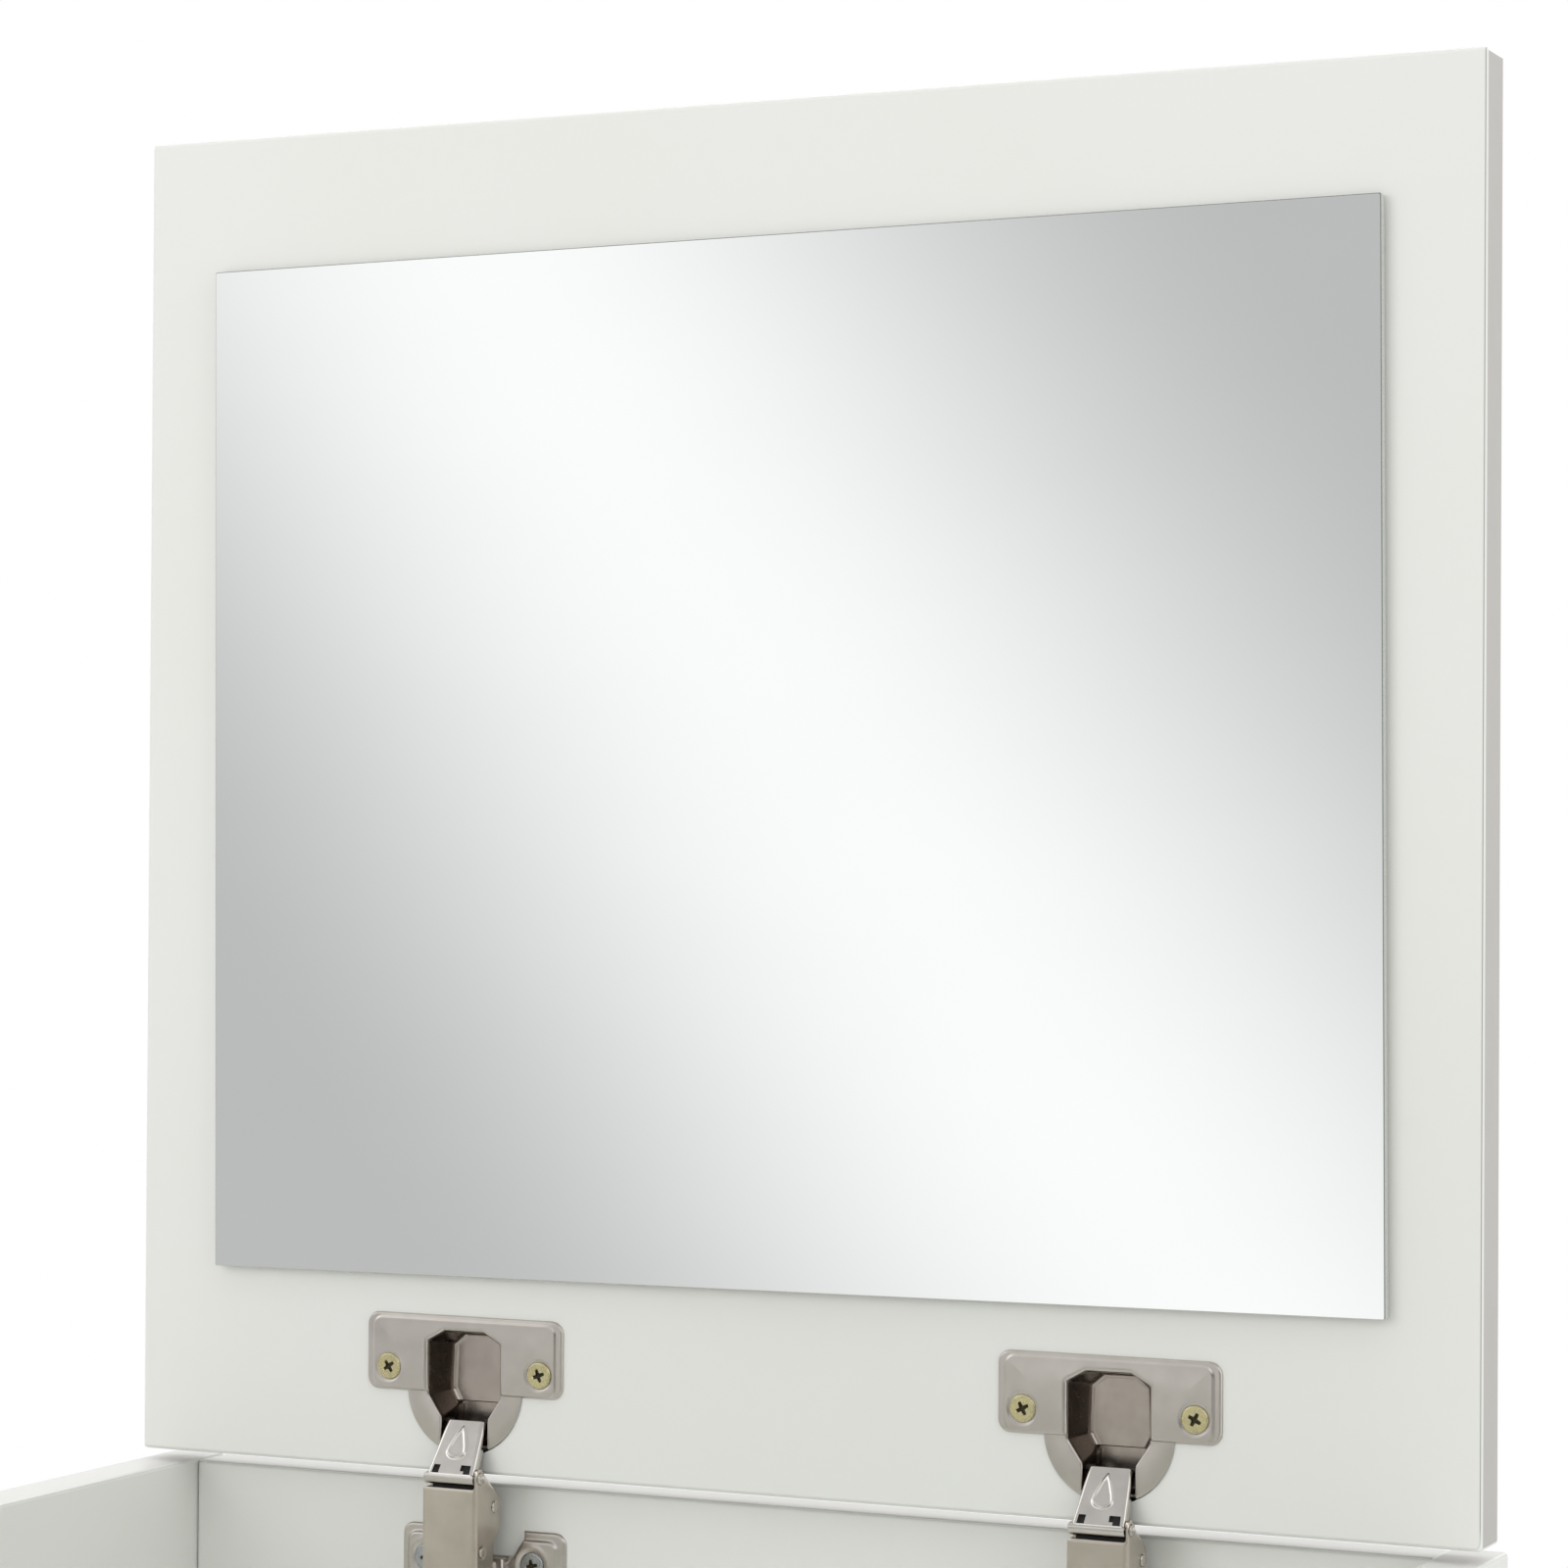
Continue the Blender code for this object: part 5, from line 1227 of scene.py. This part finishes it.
def softbox(name, place, target, side, power):
    """Square area lamp aimed at a point, which shows in no reflection."""
    lamp = bpy.data.lights.new(name, "AREA")
    lamp.shape = "RECTANGLE"
    lamp.size = side
    lamp.size_y = side
    lamp.energy = power
    light = new_object(name, lamp)
    light.visible_glossy = False
    aim = np.array(target) - np.array(place)
    turn = math.atan2(-aim[0], aim[1])
    light.matrix_world = standing(place, turn, math.atan2(aim[2], math.hypot(aim[0], aim[1])))


class VanityOtStudio(bpy.types.Operator):
    """Camera, world, floor, reflection card and softboxes"""

    bl_idname = "vanity.studio"
    bl_label = "Studio"

    def execute(self, context):
        scene = context.scene
        settings = scene.vanity_studio
        camera_data = bpy.data.cameras.new("studio_camera")
        camera_data.lens = settings.lens
        camera_data.sensor_width = 36.0
        camera_data.clip_start = 0.05
        camera = new_object("studio_camera", camera_data)
        turns = (settings.camera_yaw, settings.camera_rise, settings.camera_roll)
        camera.matrix_world = standing(settings.camera_place, *turns)
        scene.camera = camera
        scene.view_settings.view_transform = "Standard"
        studio_world(settings)
        studio_floor(settings)
        softbox_card(settings)
        softbox("key_softbox", (-2.0, -3.4, 1.9), (0.0, 0.1, 0.9), 2.4, settings.key_power)
        softbox("top_softbox", (0.2, -0.4, 4.6), (0.0, 0.0, 0.9), 3.0, settings.top_power)
        softbox("side_softbox", (3.0, -0.6, 1.6), (-0.1, 0.0, 0.75), 2.4, settings.side_power)
        return {"FINISHED"}


# ---------------------------------------------------------------- settings
def colour(name, description, code):
    """Colour setting whose default is an sRGB hex code."""
    options = {"name": name, "description": description, "default": linear(code)}
    return FloatVectorProperty(subtype="COLOR", size=4, min=0.0, max=1.0, **options)


def length(name, description, default):
    """Length setting in metres."""
    return FloatProperty(name=name, description=description, default=default, unit="LENGTH", precision=5)


def angle_setting(name, description, degrees):
    """Angle setting, given in degrees."""
    return FloatProperty(name=name, description=description, default=math.radians(degrees), subtype="ANGLE")


def number(name, description, default):
    """Plain number setting."""
    return FloatProperty(name=name, description=description, default=default)


def vector(name, description, default):
    """Place or direction setting."""
    return FloatVectorProperty(name=name, description=description, default=default, subtype="XYZ")


class VanityBoardSettings(bpy.types.PropertyGroup):
    """Colours and edge band of the boards"""

    foil: colour("Foil", "White of the melamine foil", "E8E9E5")
    foil_warm: colour("Foil, warmer", "Second shade that the foil drifts to", "E7E7E2")
    # The case's foil is a lighter copy of the lid's white: painted light inside the case.
    painted_light_case_white: colour("Case foil", "Slightly lighter white of the case's foil", "EDEEEA")
    painted_light_case_warm: colour("Case foil, warmer", "Second shade that the case's foil drifts to", "ECEDE8")
    # The band's white is partly a painted highlight on its rounded front.
    band: colour("Edge band", "White of the ABS edge band's rounded front", "EDEEEB")
    # The case band's flat side is a little greyer than the foil: partly the band's own tone, partly painted
    # shade.
    case_side_tone_and_shade: colour("Edge band, side", "White of the case's edge band on its flat side", "E3E2DE")
    # The lid band's flat side is grey: painted shade on the lid's sides.
    lid_side_painted_shade: colour("Edge band, lid's side", "White of the lid's edge band on its flat side", "BBB8B3")
    glue: colour("Glue line", "Grey of the glue line beside the band", "8E8D88")
    band_thickness: length("Band thickness", "Thickness of the ABS edge band", 0.55 * MM)
    lid_joint: number("Glue line of the lid", "How dark the lid's glue line shows, 0 to 1", 0.8)
    case_joint: number("Glue line of the case", "How dark the case's glue lines show, 0 to 1", 0.2)


class VanityHingeSettings(bpy.types.PropertyGroup):
    """Metals and pressing depths of the hinges"""

    nickel: colour("Satin nickel", "Main tone of the satin nickel", "D3CDC7")
    nickel_shade: colour("Satin nickel, darker", "Second tone of the satin nickel", "CBC5BE")
    # The pocket wall's two tones are nickel darkened as painted shade.
    drawn: colour("Drawn wall", "Main tone of the pocket's drawn wall", "7A7169")
    drawn_shade: colour("Drawn wall, darker", "Second tone of the pocket's drawn wall", "6A625B")
    # The pocket floor's two tones are nickel darkened as painted shade.
    floor: colour("Pocket floor", "Main tone of the pocket's pressed floor", "C2B8B0")
    floor_shade: colour("Pocket floor, darker", "Second tone of the pocket's pressed floor", "B4AAA2")
    arm: colour("Arm", "Main tone of the arm's yellower nickel", "D4CCC1")
    arm_shade: colour("Arm, darker", "Second tone of the arm's yellower nickel", "CBC2B6")
    bright: colour("Bright nickel", "Main tone of the polished links", "DEDAD5")
    bright_shade: colour("Bright nickel, darker", "Second tone of the polished links", "D2CEC8")
    nickel_roughness: number("Satin roughness", "Blur of the satin nickel's reflections", 0.3)
    teardrop: length("Teardrop height", "Height of the pressed teardrop on the link", 0.3 * MM)


class VanityMirrorSettings(bpy.types.PropertyGroup):
    """Tone and seam of the mirror"""

    silver: colour("Silver", "Main tone of the silvered glass", "F8FAF9")
    silver_shade: colour("Silver, second tone", "Second tone of the silvered glass", "F6F8F7")
    # The seamed edge's dark tones are a painted reflection.
    edge: colour("Glass edge", "Dark tone of the seamed edge", "6C7370")
    edge_light: colour("Glass edge, lighter", "Light tone of the seamed edge", "888F8C")
    side: colour("Glass side", "Pale tone of the ground side", "CFD1CC")
    side_shade: colour("Glass side, darker", "Second tone of the ground side", "C3C6C1")
    seam: length("Seam", "Width of the seamed edge", 0.24 * MM)
    skew: angle_setting("Skew", "How far the pane is glued out of square", 0.47)


class VanityStudioSettings(bpy.types.PropertyGroup):
    """Camera and light levels"""

    lens: number("Focal length", "Focal length in millimetres on a 36 mm sensor", 98.05)
    camera_place: vector("Camera place", "Where the camera stands", (0.4977, -0.8851, 0.9165))
    camera_yaw: angle_setting("Camera turn", "Turn of the camera to the left", 25.075)
    camera_rise: angle_setting("Camera rise", "How far the camera looks up", 0.671)
    camera_roll: angle_setting("Camera roll", "Roll of the camera", 0.338)
    ambient: number("Ambient", "Strength of the even light from all round", 0.8)
    key_power: number("Key softbox", "Power of the softbox at the front left", 33.0)
    top_power: number("Top softbox", "Power of the softbox above", 21.0)
    side_power: number("Side softbox", "Power of the softbox at the right", 12.0)
    front_level: number("Front level", "How bright reflections see the studio's front", 0.6)
    overhead_level: number("Overhead level", "What the high softbox adds to reflections", 1.0)
    side_level: number("Side level", "What the softbox at the right adds to reflections", 0.9)
    dark_level: number("Dark level", "How bright reflections see the studio's dark end", 0.12)
    dark_toward: vector("Dark end", "Direction of the studio's dark end", (0.66, -0.75, 0.0))
    floor: colour("Floor", "Colour of the studio floor", "EDEDEB")
    band_turn: angle_setting("Band turn", "Slope of the softbox band in the mirror", 37.0)
    band_place: number("Band place", "Where the softbox band's middle lies, in metres", -0.045)
    band_half: number("Band half width", "Half width of the softbox band, in metres", 0.51)
    band_grey: number("Band grey", "Level beyond the softbox band", 0.53)
    band_white: number("Band white", "Level in the middle of the softbox band", 1.03)


SETTINGS = {
    "vanity_board": VanityBoardSettings,
    "vanity_hinge": VanityHingeSettings,
    "vanity_mirror": VanityMirrorSettings,
    "vanity_studio": VanityStudioSettings,
}
OPERATORS = (
    VanityOtStudio,
    VanityOtBoards,
    VanityOtLegs,
    VanityOtFittings,
    VanityOtMirror,
    VanityOtCups,
    VanityOtScrews,
    VanityOtOuterLinks,
    VanityOtInnerLinks,
    VanityOtArms,
    VanityOtMountingPlates,
)


class VanityPtPanel(bpy.types.Panel):
    """Sidebar panel that lists the settings and the pieces"""

    bl_idname = "VANITY_PT_panel"
    bl_label = "Flip-top vanity table"
    bl_space_type = "VIEW_3D"
    bl_region_type = "UI"
    bl_category = "Vanity"

    def draw(self, context):
        for key, group in SETTINGS.items():
            box = self.layout.box()
            for name in group.__annotations__:
                box.prop(getattr(context.scene, key), name)
        for operator in OPERATORS:
            self.layout.operator(operator.bl_idname)


def register():
    for key, group in SETTINGS.items():
        bpy.utils.register_class(group)
        setattr(bpy.types.Scene, key, PointerProperty(type=group))
    for cls in (*OPERATORS, VanityPtPanel):
        bpy.utils.register_class(cls)


def unregister():
    for cls in (VanityPtPanel, *reversed(OPERATORS)):
        bpy.utils.unregister_class(cls)
    for key, group in reversed(SETTINGS.items()):
        delattr(bpy.types.Scene, key)
        bpy.utils.unregister_class(group)


def main():
    """Register the add-on and make every piece in order."""
    register()
    for operator in OPERATORS:
        group, call = operator.bl_idname.split(".")
        getattr(getattr(bpy.ops, group), call)()


if __name__ == "__main__":
    main()
